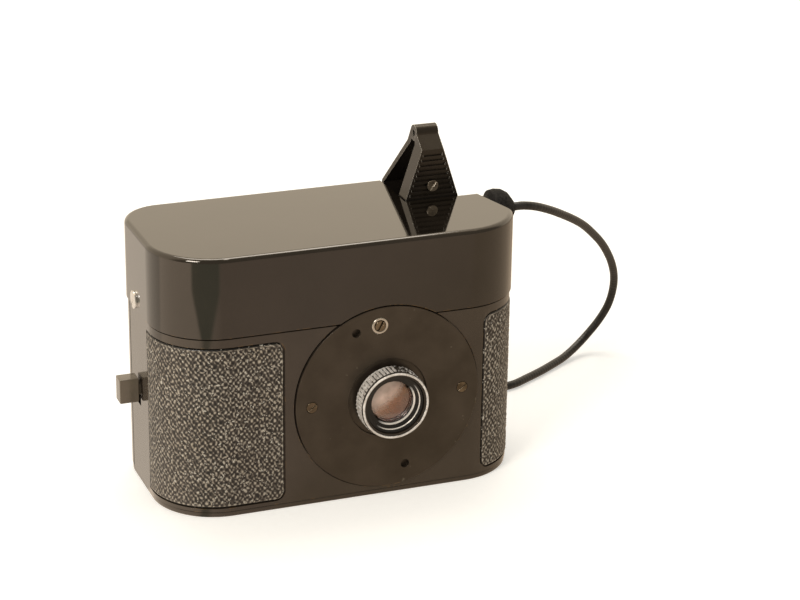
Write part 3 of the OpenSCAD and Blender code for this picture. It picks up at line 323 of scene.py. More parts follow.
def mottled_material(name, stops, scale, detail, gloss=None, relief=None, fineness=0.5, **values):
    """A material whose colour follows a cloudy noise through the stops. So do its roughness,
    from the first value of gloss to the second, and a bump of relief's strength and height."""
    material, tree, shader, place = blank_material(name)
    cloud = add(tree, "TexNoise", {"Vector": place}, s_Scale=scale, s_Detail=detail,
                s_Roughness=fineness)
    tone = add(tree, "ValToRGB", {"Fac": cloud})
    set_stops(tone, *stops)
    links = {"Base Color": tone}
    if gloss:
        links["Roughness"] = add(tree, "MapRange", {"Value": cloud}, s_3=gloss[0], s_4=gloss[1])
    if relief:
        links["Normal"] = add(tree, "Bump", {"Height": cloud}, s_Strength=relief[0],
                              s_Distance=relief[1])
    feed(shader, links, **values)
    return material, tree, shader, place


# Black PVC over a close steel coil: satin, with the coil's turns just showing through.
COIL_TURN_MM = 0.9  # drawn coarser than the real 0.4 mm so that it shows
WAVE_SCALE = 1 / 3.18  # of a wave texture with one band in each unit
pvc, tree, shader, _ = mottled_material("black_pvc_sleeve", ((0.35, "#161514"), (0.75, "#2E2C29")),
                                        700.0, 4.0, (0.28, 0.45), IOR=1.52)
uv = add(tree, "UVMap", uv_map="uv")
turns = add(tree, "TexWave", {"Vector": uv}, wave_type="BANDS", bands_direction="X",
            s_Scale=WAVE_SCALE / COIL_TURN_MM)
relief = add(tree, "Bump", {"Height": turns.outputs["Fac"]}, s_Strength=0.35, s_Distance=0.00008)
feed(shader, {"Normal": relief})

cable_line = smoothed([at(*p) for p in ROUTE_MM], 5)
cable = new_piece("release_cable", sweep(cable_line, CABLE_MM / 2000, 24), pvc, "case",
                  ["cable"])
coil_line = smoothed([at(*p) for p in coil_points()], 3)
coil = new_piece("release_cable_coil", sweep(coil_line, CABLE_MM / 2000, 24), pvc, "case",
                 ["cable_coil"])

# The tie is a strip of black plastic over a soft wire, wrapped twice and twisted.
tie_plastic = mottled_material("black_polythene_tie", ((0.0, "#191817"), (1.0, "#35322E")), 1400.0, 2.0,
                               relief=(0.4, 0.0001), Roughness=0.42)[0]


def from_cad(node, join_flats):
    """A copy of a CAD node's mesh, with its flat faces joined for bevels where they allow it."""
    mesh = CAD[node].data.copy()
    build = bmesh.new()
    build.from_mesh(mesh)
    bmesh.ops.remove_doubles(build, verts=build.verts, dist=2e-6)
    if join_flats:
        bmesh.ops.dissolve_limit(build, angle_limit=math.radians(1.0), verts=build.verts,
                                 edges=build.edges, delimit={"NORMAL"})
    build.to_mesh(mesh)
    build.free()
    return mesh


def cad_piece(node, name, body, slot, material, width_mm, rounds=2, join_flats=True, smooth_degrees=30):
    """A piece that is a CAD node's own shape, with small rounds along its edges and shading
    that keeps its flats flat."""
    piece = new_piece(name, from_cad(node, join_flats), material, body, [node], smooth_degrees)
    bevel = piece.modifiers.new("edge_rounds", "BEVEL")
    bevel.width = width_mm / 1000
    bevel.segments = rounds
    bevel.limit_method = "ANGLE"
    bevel.angle_limit = math.radians(32)
    bevel.miter_outer = "MITER_ARC"
    bevel.use_clamp_overlap = True
    weighted = piece.modifiers.new("flat_shading", "WEIGHTED_NORMAL")
    weighted.keep_sharp = False
    weighted.weight = 70


cad_piece("cable_tie", "cable_tie_strip", "case", "cable_black", tie_plastic, 0.25, 3, smooth_degrees=35)

# Turned brass, nickel plated: bright, with fine turning marks round the axis and dull spots.
TURNING_MM = 0.12


def nickel_material(name, dull, bright):
    """Nickel plate between a dull and a bright tone."""
    material, tree, shader, place = mottled_material(name, ((0.3, dull), (0.7, bright)), 450.0, 5.0,
                                                     (0.16, 0.38), Metallic=1.0)
    fine = add(tree, "TexNoise", {"Vector": place}, s_Scale=1000 / TURNING_MM, s_Detail=1.0)
    relief = add(tree, "Bump", {"Height": fine}, s_Strength=0.12, s_Distance=0.00002)
    feed(shader, {"Normal": relief})
    return material


nickel = nickel_material("nickel_plated_brass", "#B4AEA3", "#EAE6DE")
polished = nickel_material("polished_nickel_screw", "#F0ECE4", "#FFFFFF")
tarnished = nickel_material("tarnished_nickel_screw", "#4E4437", "#8C7F6C")
blackened = nickel_material("blackened_nickel_screw", "#4A433B", "#C9C0B2")


def lathe(outline_mm, turn, segments=96):
    """A closed turned solid. The outline is (radius, distance along) in millimetres, from axis
    to axis, and turn places the axis, which is +Z, in the part's frame."""
    build = bmesh.new()
    rings = []
    angles = [2 * math.pi * j / segments for j in range(segments)]
    for r, z in outline_mm:
        ring = [(r * math.cos(a), r * math.sin(a), z) for a in angles] if r > 1e-6 else [(0, 0, z)]
        rings.append([build.verts.new(turn @ (Vector(point) / 1000)) for point in ring])
    pairs = list(zip(rings, rings[1:]))
    if outline_mm[0][0] > 1e-6:
        pairs.append((rings[-1], rings[0]))
    for a, b in pairs:
        for j in range(segments):
            n = (j + 1) % segments
            corners = list(dict.fromkeys([a[j % len(a)], a[n % len(a)], b[n % len(b)], b[j % len(b)]]))
            if len(corners) > 2:
                build.faces.new(corners)
    return solid_mesh(build)


def along_x(x_mm, y_mm, z_mm):
    """Places a turned piece with its axis along +X from that point on."""
    return Matrix.Translation(at(x_mm, y_mm, z_mm)) @ Matrix.Rotation(math.radians(90), 4, "Y")


def along_y(x_mm, y_mm, z_mm):
    """Places a turned piece with its axis along +Y from that point on."""
    return Matrix.Translation(at(x_mm, y_mm, z_mm)) @ Matrix.Rotation(math.radians(-90), 4, "X")


# The plunger: a turned barrel with a finger flange and a milled grip, and a thumb button
# on a rod that slides in it.
PLUNGER_LENGTH_MM, BUTTON_OUT_MM = 24.0, 8.5
flange_x = COIL_MIDDLE_MM[0] - 11 - PLUNGER_LENGTH_MM
grip = []
for k in range(12):
    z = 10.2 + k * 0.55
    grip += [(2.05, z), (2.05, z + 0.2), (1.85, z + 0.3), (1.85, z + 0.45)]
flange = [(1.25, 0), (3.3, 0), (3.55, 0.2), (3.6, 0.5), (3.6, 0.9), (3.55, 1.2), (3.3, 1.4), (2.3, 1.4),
          (2.1, 1.6), (2.1, 9.8)]
sleeve = [(2.1, 16.9), (2.3, 17.2), (2.6, 17.4), (2.6, 22.6), (2.4, 23.4), (1.6, 24), (1.0, 24),
          (1.0, 16), (1.25, 16)]
new_piece("plunger_barrel_turned", lathe(flange + grip + sleeve, along_x(flange_x, *PLUNGER_AXIS_MM)),
          nickel, "case", ["plunger_barrel"], 30)
thumb_button = [(0, 0), (2.2, 0.05), (2.7, 0.25), (2.95, 0.6), (3.0, 1.0), (2.8, 1.35), (2.4, 1.5),
                (1.5, 1.5), (1.2, 1.7), (1.2, 17.3), (1.0, 17.5), (0, 17.5)]
button_x = flange_x - BUTTON_OUT_MM
new_piece("plunger_button_turned", lathe(thumb_button, along_x(button_x, *PLUNGER_AXIS_MM)), nickel,
          "button", ["plunger_button"], 30)

# ---------------------------------------------------------------------------------------
# Case: top cover, lower shell, base plate and pull-off back, drawn from sheet brass and
# die castings, dipped in warm black stoving enamel that has gone glossy with handling.
# ---------------------------------------------------------------------------------------

# Stoved enamel is a hard gloss coat: it mirrors the room at a flat angle, has a faint
# orange peel, fine scratches and dust, and shows brass where an edge has rubbed through.
ORANGE_PEEL_MM, SCRATCH_MM, EDGE_WEAR_MM = 1.6, 6.0, 0.35
SEAM_MM, SEAM_SHADE_MM = 38.32, 0.2  # the seam's height, and how far its painted shade spreads


def enamel_material(name, deep, pale, wear_share, dulled=1.0):
    """Black enamel over brass, with painted shade, matt and near-black, in the seam under the top cover;
    wear_share is how much of the edges is rubbed bright, and dulled how far handling has dulled the
    gloss."""
    material, tree, shader, place = blank_material(name)
    cloud = add(tree, "TexNoise", {"Vector": place}, s_Scale=85.0, s_Detail=6.0, s_Roughness=0.6)
    tone = add(tree, "ValToRGB", {"Fac": cloud})
    set_stops(tone, (0.35, deep), (0.7, pale))
    stretch = add(tree, "Mapping", {"Vector": place}, s_Rotation=(0.0, 0.0, 0.35),
                  s_Scale=(1 / SCRATCH_MM * 1000, 6000.0, 3000.0))
    hairline = add(tree, "TexNoise", {"Vector": stretch}, s_Scale=1.0, s_Detail=2.0)
    scratch = add(tree, "MapRange", {"Value": hairline}, s_1=0.68, s_2=0.8)
    peel = add(tree, "TexNoise", {"Vector": place}, s_Scale=1000 / ORANGE_PEEL_MM, s_Detail=2.0)
    handled = add(tree, "MapRange", {"Value": cloud}, s_1=0.3, s_2=0.75, s_3=0.13 * dulled,
                  s_4=0.26 * dulled)
    rough = add(tree, "Math", {0: scratch, 2: handled}, operation="MULTIPLY_ADD", s_1=0.12)
    rounded = add(tree, "Bevel", s_Radius=EDGE_WEAR_MM / 1000)
    flat = add(tree, "NewGeometry")
    edge = add(tree, "VectorMath", {0: rounded, 1: flat.outputs["Normal"]}, operation="DOT_PRODUCT")
    chips = add(tree, "TexNoise", {"Vector": place}, s_Scale=600.0, s_Detail=6.0, s_Roughness=0.7)
    edge_share = add(tree, "MapRange", {"Value": edge.outputs["Value"]}, s_1=0.985, s_2=0.86, s_4=wear_share)
    mark_level = add(tree, "Math", {0: edge_share, 1: chips}, operation="ADD")
    metal_showing = add(tree, "MapRange", {"Value": mark_level}, s_1=0.86, s_2=0.9)
    colour = add(tree, "Mix", {"Factor": metal_showing, 6: tone}, data_type="RGBA", s_7=linear("#8C7550"))
    # Painted shade: a near-black matt band, without coat or shine, along the seam under the cover's
    # overhang.
    height = add(tree, "SeparateXYZ", {"Vector": place})
    below = add(tree, "Math", {0: height.outputs["Z"]}, operation="SUBTRACT", s_1=SEAM_MM / 1000)
    away = add(tree, "Math", {0: below}, operation="ABSOLUTE")
    out_of_seam_shade = add(tree, "MapRange", {"Value": away}, s_1=SEAM_SHADE_MM / 1.3 / 1000,
                s_2=SEAM_SHADE_MM / 1000)
    seam_shaded = add(tree, "Mix", {0: out_of_seam_shade, 7: colour.outputs[2]}, data_type="RGBA", s_6=linear("#15110D"))
    coat = add(tree, "Math", {0: out_of_seam_shade}, operation="MULTIPLY", s_1=0.7)
    shine = add(tree, "Math", {0: out_of_seam_shade}, operation="MULTIPLY", s_1=0.5)
    relief = add(tree, "Bump", {"Height": peel}, s_Strength=0.06, s_Distance=0.00006)
    feed(shader, {"Base Color": seam_shaded.outputs[2], "Roughness": rough,
                  "Metallic": metal_showing, "Normal": relief,
                  "Coat Weight": coat, "Specular IOR Level": shine}, IOR=1.56,
         Specular_Tint=linear("#FFF3E4"), Coat_Roughness=0.09 * dulled, Coat_IOR=1.5)
    return material


enamel = enamel_material("black_stoving_enamel", "#231D17", "#322A22", 0.30)
cover_enamel = enamel_material("black_stoving_enamel_cover", "#120F0B", "#1D1813", 0.34, 0.35)

for row in (("top_cover", "top_cover_shell", "case", "black_enamel", cover_enamel, 0.18, 3),
            ("body_shell", "lower_shell", "case", "black_enamel", enamel, 0.12, 2, False),
            ("base_plate", "base_sheet", "case", "black_enamel", enamel, 0.3, 3),
            ("back_cover", "pull_off_back", "back", "black_enamel", enamel, 0.15),
            ("key_cup", "key_well", "case", "black_enamel", enamel, 0.12)):
    cad_piece(*row)

# ---------------------------------------------------------------------------------------
# Leatherette: pebbled grey-brown cloth-backed covering, glued into grooves round both ends of the shell
# and across the back. Its pebbles are painted pale on the tops as painted highlight, and dark between as
# painted shade.
# ---------------------------------------------------------------------------------------

LEATHER_INSET_MM, PANEL_CORNER_MM = 0.2, 1.9
PANEL_BACK_MM, PANEL_LOW_MM, PANEL_HIGH_MM = 14.6, 2.22, 36.18
HALF_WIDTH_MM, FRONT_CORNER_MM = 38.5, 13.5
# How far the left, right and back panels start from the middle, and where the back one ends below.
LEFT_MM, RIGHT_MM, BACK_MM, BACK_LOW_MM = 14.42, 28.52, 30.1, 2.8
PEBBLE_MM, PEBBLE_TALL, PEBBLE_HIGH_MM, GRID_MM = 1.05, 1.25, 0.2, 0.16
EDGE_ROLL_MM, EDGE_DROP_MM, SHEET_MM = 0.45, 0.22, 0.2


def round_the_end(s_mm, side, start_mm):
    """Point and outward direction at a distance round the case's end from the panel's inner edge."""
    straight = max(HALF_WIDTH_MM - FRONT_CORNER_MM - start_mm, 0)
    radius = FRONT_CORNER_MM - LEATHER_INSET_MM
    first = math.asin(min(1, max(0, (start_mm - HALF_WIDTH_MM + FRONT_CORNER_MM) / radius)))
    arc = radius * (math.pi / 2 - first)
    if s_mm < straight:
        x, y, out = start_mm + s_mm, LEATHER_INSET_MM, Vector((0, -1, 0))
    elif s_mm < straight + arc:
        a = first + (s_mm - straight) / radius
        out = Vector((math.sin(a), -math.cos(a), 0))
        x, y = HALF_WIDTH_MM - FRONT_CORNER_MM + radius * out.x, FRONT_CORNER_MM + radius * out.y
    else:
        out = Vector((1, 0, 0))
        x, y = HALF_WIDTH_MM - LEATHER_INSET_MM, FRONT_CORNER_MM + s_mm - straight - arc
    length = straight + arc + PANEL_BACK_MM - FRONT_CORNER_MM
    return (side * x, y), Vector((side * out.x, out.y, 0)), length


def across_the_back(s_mm, side, start_mm):
    """Point and outward direction across the flat of the back."""
    return (-start_mm + s_mm, CASE_DEPTH_MM + 0.1), Vector((0, 1, 0)), 2 * start_mm


def leather_panel(path, side, start_mm, low_mm, high_mm, corner_mm, seed):
    """A pebbled sheet that follows the path, with rounded corners and rolled-down edges."""
    build = bmesh.new()
    grain = build.verts.layers.float.new("grain")
    length = path(0, side, start_mm)[2]
    columns, rows = int(length / GRID_MM), int((high_mm - low_mm) / GRID_MM)
    grid = []
    for i in range(rows + 1):
        z = low_mm + (high_mm - low_mm) * i / rows
        dz = max(0, corner_mm - min(z - low_mm, high_mm - z))
        trim = corner_mm - math.sqrt(max(0, corner_mm ** 2 - dz ** 2))
        line = []
        for j in range(columns + 1):
            s = trim + (length - trim) * j / columns
            (x, y), out, _ = path(s, side, start_mm)
            spot = Vector((s / PEBBLE_MM + seed, z / PEBBLE_MM / PEBBLE_TALL, seed * 0.7))
            drift = spot + 0.4 * noise.noise_vector(spot * 1.15)
            pebble = 0.5 + 0.5 * math.cos(2 * math.pi * drift.x) * math.cos(2 * math.pi * drift.y)
            pebble = min(1, max(0, pebble * (0.95 + 0.8 * noise.noise(spot * 2.3))))
            to_edge = min(s - trim, length - s, z - low_mm, high_mm - z)
            roll = 1 - min(1, to_edge / EDGE_ROLL_MM)
            lift = PEBBLE_HIGH_MM * (pebble - 0.5) * (1 - roll) - EDGE_DROP_MM * roll * roll
            vert = build.verts.new(at(x, y, z) + out * lift / 1000)
            # The grain value also holds a painted highlight: a pale line just inside the rolled-down
            # edge.
            vert[grain] = pebble * (1 - roll) + max(0, 0.5 - abs(roll - 0.3) * 3)
            line.append(vert)
        grid.append(line)
    for i in range(rows):
        for j in range(columns):
            build.faces.new((grid[i][j], grid[i][j + 1], grid[i + 1][j + 1], grid[i + 1][j]))
    rim = (grid[0] + [line[-1] for line in grid[1:]] + grid[-1][-2::-1]
           + [line[0] for line in grid[-2:0:-1]])
    out_first = path(0, side, start_mm)[1]
    inner = []
    for vert in rim:
        off = vert.co - at(0, FRONT_CORNER_MM, 0)
        past = max(0.0, abs(off.x) - (HALF_WIDTH_MM - FRONT_CORNER_MM) / 1000)
        round_out = Vector((side * past, min(0.0, off.y), 0)).normalized()
        inward = -out_first if path is across_the_back else -round_out
        inner.append(build.verts.new(vert.co + inward * SHEET_MM / 1000))
    for k in range(len(rim)):
        n = (k + 1) % len(rim)
        build.faces.new((rim[k], rim[n], inner[n], inner[k]))
    build.faces.new(inner)
    return solid_mesh(build)


# Vinyl leathercloth: satin, painted pale on the pebbles as painted highlight, and near-black between
# them as painted shade.
leathercloth, tree, shader, place = blank_material("pebbled_leathercloth")
height = add(tree, "Attribute", attribute_name="grain")
stain = add(tree, "TexNoise", {"Vector": place}, s_Scale=140.0, s_Detail=5.0)
grit = add(tree, "TexNoise", {"Vector": place}, s_Scale=2600.0, s_Detail=3.0)
painted_glint_noise = add(tree, "TexNoise", {"Vector": place}, s_Scale=1900.0, s_Detail=1.0)
# Painted light: the pebble tops are pale as painted highlight, and the hollows near-black as painted
# shade.
tops = add(tree, "ValToRGB", {"Fac": height.outputs["Fac"]})
set_stops(tops, (0.16, "#030202"), (0.52, "#4A433B"), (0.95, "#BDB4A6"))
patchy = add(tree, "Mix", {6: tops, 0: stain}, data_type="RGBA", blend_type="SOFT_LIGHT",
             s_7=linear("#877D6F"))
# The pale specks stand for dust and for painted glints.
dots = add(tree, "MapRange", {"Value": painted_glint_noise}, s_1=0.66, s_2=0.7, s_4=0.7)
colour = add(tree, "Mix", {0: dots, 6: patchy.outputs[2]}, data_type="RGBA", s_7=linear("#D8D0C0"))
gloss = add(tree, "MapRange", {"Value": height.outputs["Fac"]}, s_3=0.5, s_4=0.22)
relief = add(tree, "Bump", {"Height": grit}, s_Strength=0.35, s_Distance=0.00004)
feed(shader, {"Base Color": colour.outputs[2], "Roughness": gloss, "Normal": relief}, IOR=1.55,
     Coat_Weight=0.3, Coat_Roughness=0.22)

# A fixed seed, so that the grain lies the same way on every run.
GRAIN_SEED = 4
noise.seed_set(GRAIN_SEED)
for part, path, side, start, low, corner, body, seed in (
        ("left", round_the_end, -1, LEFT_MM, PANEL_LOW_MM, PANEL_CORNER_MM, "case", 3.1),
        ("right", round_the_end, 1, RIGHT_MM, PANEL_LOW_MM, PANEL_CORNER_MM, "case", 11.7),
        ("back", across_the_back, 1, BACK_MM, BACK_LOW_MM, 0.3, "back", 27.3)):
    new_piece(part + "_leathercloth", leather_panel(path, side, start, low, PANEL_HIGH_MM, corner, seed),
              leathercloth, body, [part + "_leatherette"], 80)

# ---------------------------------------------------------------------------------------
# Lens plate: a turned brass disc, enamelled with the case, sunk in the front and held by
# two slotted screws. It has two spanner holes and the slotted spindle that sets the stop.
# ---------------------------------------------------------------------------------------

PLATE_RING_MM = 0.35  # spacing of the turning marks, drawn coarser than the real 0.1 mm
LENS_MM = (7.4, 21.5)
LENS_MIDDLE = Vector((LENS_MM[0], 0, LENS_MM[1])) / 1000
plate_enamel, tree, shader, place = blank_material("satin_enamel_on_turned_brass")
centred = add(tree, "Mapping", {"Vector": place}, s_Location=-LENS_MIDDLE)
rings = add(tree, "TexWave", {"Vector": centred}, wave_type="RINGS", rings_direction="Y",
            s_Scale=1000 / PLATE_RING_MM / 20, s_Distortion=1.5, s_Detail=2.0)
cloud = add(tree, "TexNoise", {"Vector": place}, s_Scale=160.0, s_Detail=6.0)
fleck = add(tree, "TexNoise", {"Vector": place}, s_Scale=900.0, s_Detail=2.0)
tone = add(tree, "ValToRGB", {"Fac": cloud})
set_stops(tone, (0.35, "#27211B"), (0.7, "#393129"))
dots = add(tree, "MapRange", {"Value": fleck}, s_1=0.74, s_2=0.78, s_4=0.4)
colour = add(tree, "Mix", {0: dots, 6: tone}, data_type="RGBA", s_7=linear("#7C7365"))
gloss = add(tree, "MapRange", {"Value": cloud}, s_3=0.24, s_4=0.4)
relief = add(tree, "Bump", {"Height": rings.outputs["Fac"]}, s_Strength=0.08, s_Distance=0.00003)
feed(shader, {"Base Color": colour.outputs[2], "Roughness": gloss, "Normal": relief}, IOR=1.6,
     Specular_Tint=linear("#FFF0DA"))

cad_piece("lens_plate", "lens_plate_disc", "case", "black_anodised", plate_enamel, 0.16, 3)
for node, body, material, width in (
        ("plate_screws", "case", tarnished, 0.12), ("cover_screws", "case", polished, 0.1),
        ("spindle_collar", "case", nickel, 0.22), ("pad_screw", "lever", blackened, 0.2)):
    cad_piece(node, node + "_nickel", body, "nickel", material, width, 3)
cad_piece("setting_spindle", "stop_spindle", "spindle", "nickel", tarnished, 0.14)

# ---------------------------------------------------------------------------------------
# Lens: a black tube with three coated glasses, and round it the milled brass focusing
# ring, whose black has worn off the rim and the tops of the milling.
# ---------------------------------------------------------------------------------------

RING_OUT_MM, RING_TEETH, TOOTH_DEEP_MM = 7.2, 54, 0.3
RING_FRONT_MM, TUBE_MM, RING_FIT_MM = -5.0, 6.1, 0.05


def milled_ring():
    """The focusing ring: a turned rim and a band of straight milling behind it."""
    outline = [(6.2, RING_FRONT_MM + 0.35), (6.5, RING_FRONT_MM + 0.32), (6.62, RING_FRONT_MM + 0.06),
               (6.7, RING_FRONT_MM), (6.86, RING_FRONT_MM), (6.96, RING_FRONT_MM + 0.06),
               (7.12, RING_FRONT_MM + 0.35), (7.12, RING_FRONT_MM + 0.7), (6.8, RING_FRONT_MM + 0.85),
               (6.8, -4.05), (RING_OUT_MM, -3.9), (RING_OUT_MM, -1.15), (7.0, -0.95), (6.9, -0.7),
               (6.8, -0.6), (TUBE_MM + RING_FIT_MM, -0.6), (TUBE_MM + RING_FIT_MM, RING_FRONT_MM + 0.35)]
    milled = (10, 11)  # the two rings of points between which the teeth run
    segments = RING_TEETH * 4  # two points on a tooth, and two in the gap after it
    build = bmesh.new()
    rings = []
    for k, (r, y) in enumerate(outline):
        ring = []
        for j in range(segments):
            low = TOOTH_DEEP_MM if k in milled and j % 4 > 1 else 0
            a = 2 * math.pi * j / segments
            ring.append(build.verts.new(at(LENS_MM[0] + (r - low) * math.cos(a), y,
                                           LENS_MM[1] + (r - low) * math.sin(a))))
        rings.append(ring)
    for a, b in zip(rings, rings[1:] + rings[:1]):
        for j in range(segments):
            n = (j + 1) % segments
            build.faces.new((a[j], a[n], b[n], b[j]))
    return solid_mesh(build)


# Blackened brass: dark in the milling, and bare, scratched pale metal on the rim and on the tops of the
# teeth where fingers turn it. The teeth's pale tops are also painted light: full on the left and half on
# the right, where the ring's own shade falls.
# The rim is bare for a quarter of a millimetre, and the teeth start behind its groove.
RIM_Y, RIM_WORN_M, TEETH_FROM_M = at(0, RING_FRONT_MM, 0).y, (0.00008, 0.00025), (0.0007, 0.0009)
ring_metal, tree, shader, place = blank_material("blackened_brass_worn_at_rim")
axes = add(tree, "SeparateXYZ", {"Vector": place})
depth = add(tree, "MapRange", {"Value": axes.outputs["Y"]}, s_1=RIM_Y + RIM_WORN_M[0],
            s_2=RIM_Y + RIM_WORN_M[1], s_3=1.0, s_4=0.28)
chips = add(tree, "TexNoise", {"Vector": place}, s_Scale=900.0, s_Detail=6.0, s_Roughness=0.7)
flat = add(tree, "CombineXYZ", {"X": axes.outputs["X"], "Z": axes.outputs["Z"]})
from_axis = add(tree, "VectorMath", {0: flat}, operation="DISTANCE", s_1=LENS_MIDDLE)
tops = add(tree, "MapRange", {"Value": from_axis.outputs["Value"]}, s_1=0.0068, s_2=0.007)
# Painted light: the teeth's pale tops fade from full on the left to half on the right.
painted_left_light = add(tree, "MapRange", {"Value": axes.outputs["X"]}, s_1=(LENS_MM[0] - 3) / 1000,
              s_2=(LENS_MM[0] + 1) / 1000, s_3=1.0, s_4=0.5)
tops = add(tree, "Math", {0: tops, 1: painted_left_light}, operation="MULTIPLY")
behind_rim = add(tree, "MapRange", {"Value": axes.outputs["Y"]}, s_1=RIM_Y + TEETH_FROM_M[0],
                 s_2=RIM_Y + TEETH_FROM_M[1])
tops = add(tree, "Math", {0: tops, 1: behind_rim}, operation="MULTIPLY")
rim_and_teeth = add(tree, "Math", {0: depth, 1: tops}, operation="MAXIMUM")
mark_level = add(tree, "Math", {0: rim_and_teeth, 1: chips}, operation="ADD")
metal_showing = add(tree, "MapRange", {"Value": mark_level}, s_1=0.95, s_2=1.1)
brass = add(tree, "ValToRGB", {"Fac": chips})
set_stops(brass, (0.3, "#C2B6AA"), (0.65, "#FFFAF3"))
colour = add(tree, "Mix", {0: metal_showing, 7: brass}, data_type="RGBA", s_6=linear("#2A231B"))
metal = add(tree, "Math", {0: metal_showing}, operation="MULTIPLY", s_1=0.25)
gloss = add(tree, "MapRange", {"Value": chips}, s_3=0.42, s_4=0.24)
relief = add(tree, "Bump", {"Height": chips}, s_Strength=0.15, s_Distance=0.00004)
feed(shader, {"Base Color": colour.outputs[2], "Roughness": gloss, "Metallic": metal, "Normal": relief})
new_piece("milled_focus_ring", milled_ring(), ring_metal, "ring", ["front_ring"], 28)

# Black anodised aluminium: deep satin black, so that the tube swallows stray light. On the ring that
# holds the front glass, crescents of painted highlight lie on the lower right.
PAINTED_CRESCENTS_MM = ((-3.8, -3.56), (-2.98, -2.45))
SLANT_M = (LENS_MM[0] - LENS_MM[1]) / 1000  # x less z, on the slant through the lens's middle


def anodised_material(name, painted_crescents=()):
    """Anodised black, with pale metal painted on the lower right between the depths that are given, as
    painted highlight.
    """
    material, tree, shader, place = mottled_material(name, ((0.0, "#0F0E0D"), (1.0, "#24211E")), 600.0,
                                                     4.0, (0.3, 0.5))
    if painted_crescents:
        black = shader.inputs["Base Color"].links[0].from_socket
        axes = add(tree, "SeparateXYZ", {"Vector": place})
        side = add(tree, "Math", {0: axes.outputs["X"], 1: axes.outputs["Z"]}, operation="SUBTRACT")
        # Painted highlight: pale metal on the lower right only, where the light falls.
        metal_showing = add(tree, "MapRange", {"Value": side}, s_1=SLANT_M + 0.0005, s_2=SLANT_M + 0.0035)
        within = None
        for ring in painted_crescents:
            low, high = [(y - CASE_DEPTH_MM / 2) / 1000 for y in ring]
            near = add(tree, "Math", {0: axes.outputs["Y"]}, operation="COMPARE", s_1=(low + high) / 2,
                       s_2=(high - low) / 2)
            within = add(tree, "Math", {0: near, 1: within}, operation="MAXIMUM") if within else near
        metal_showing = add(tree, "Math", {0: metal_showing, 1: within}, operation="MULTIPLY")
        colour = add(tree, "Mix", {0: metal_showing, 6: black}, data_type="RGBA", s_7=linear("#FFFCF6"))
        crescent_roughness = add(tree, "MapRange", {"Value": metal_showing}, s_3=0.4, s_4=0.3)
        metal = add(tree, "Math", {0: metal_showing}, operation="MULTIPLY", s_1=0.6)
        feed(shader, {"Base Color": colour.outputs[2], "Metallic": metal, "Roughness": crescent_roughness})
    return material


anodised = anodised_material("black_anodised_aluminium")
threads = []
for k in range(5):
    threads += [(5.95 - k * 0.21, -4.3 + k * 0.26), (5.95 - k * 0.21, -4.12 + k * 0.26)]
tube = [(4.82, -2.98), (4.5, -2.84), (4.5, -2.66), (4.8, -2.45), (4.8, -1.7), (4.1, -1.7), (4.1, 2.8),
        (TUBE_MM, 2.8), (TUBE_MM, 2.0), (7.1, 2.0), (7.2, 1.9), (7.2, 1.4), (7.1, 1.3),
        (TUBE_MM, 1.3), (TUBE_MM, -4.15), (TUBE_MM - 0.1, -4.3)]
new_piece("lens_tube_turned", lathe(threads + tube, along_y(LENS_MM[0], 0, LENS_MM[1]), 128),
          anodised_material("black_anodised_tube", PAINTED_CRESCENTS_MM), "case",
          ["lens_tube"], 25)
for node, name, width in (("rear_cell", "rear_cell_turned", 0.12), ("supply_can", "film_can", 0.15)):
    cad_piece(node, name, "case", "black_anodised", anodised, width)

# Coated glass: clear, with a rose and amber bloom where it reflects. Its indices are those of
# dense glass, so that it shows as much of the bloom as the three glasses do together.
BLOOM_MM = 5.0  # half the width over which the bloom changes
glass, tree, shader, place = blank_material("bloomed_crown_glass")
smear = add(tree, "TexNoise", {"Vector": place}, s_Scale=260.0, s_Detail=3.0)
tone = add(tree, "ValToRGB", {"Fac": smear})
set_stops(tone, (0.0, "#E9C6B4"), (1.0, "#F3DCCB"))
gloss = add(tree, "MapRange", {"Value": smear}, s_1=0.45, s_2=0.8, s_4=0.12)
# The bloom was laid on from one side, so it runs from nearly clear to amber and plum.
axes = add(tree, "SeparateXYZ", {"Vector": place})
slant = add(tree, "Math", {0: axes.outputs["X"], 1: axes.outputs["Z"]}, operation="SUBTRACT")
share = add(tree, "MapRange", {"Value": slant}, s_1=SLANT_M - BLOOM_MM / 1000,
            s_2=SLANT_M + BLOOM_MM / 1000)
bloom = add(tree, "ValToRGB", {"Fac": share})
set_stops(bloom, (0.12, "#FFFDFA"), (0.48, "#F0C49C"), (0.9, "#DDA2A4"))
feed(shader, {"Specular Tint": bloom})
# Painted reflection: where the bloom is thin, the glass is made milky, standing for a whitish reflection
# on that edge.
painted_sheen = add(tree, "Math", {0: share, 1: smear}, operation="ADD")
clear = add(tree, "MapRange", {"Value": painted_sheen}, s_1=0.42, s_2=0.95, s_3=0.25, s_4=1.0)
feed(shader, {"Transmission Weight": clear, "Base Color": tone, "Roughness": gloss}, IOR=1.8,
     Coat_Weight=1.0, Coat_IOR=1.7, Coat_Roughness=0.02)


def curved_glass(radius_mm, front_mm, back_mm, ball_mm, bulges_front):
    """A ground glass with one curved and one flat face and a narrow bevelled edge."""
    radii = [radius_mm * k / 14 for k in range(15)]
    curve = [(r, ball_mm - math.sqrt(ball_mm ** 2 - r ** 2)) for r in radii]
    if bulges_front:
        outline = [(r, front_mm + s) for r, s in curve] + [(radius_mm, back_mm - 0.1),
                                                           (radius_mm - 0.1, back_mm), (0, back_mm)]
    else:
        outline = [(0, front_mm), (radius_mm - 0.1, front_mm), (radius_mm, front_mm + 0.1)] + [
            (r, back_mm - s) for r, s in reversed(curve)]
    return lathe(outline, along_y(LENS_MM[0], 0, LENS_MM[1]))


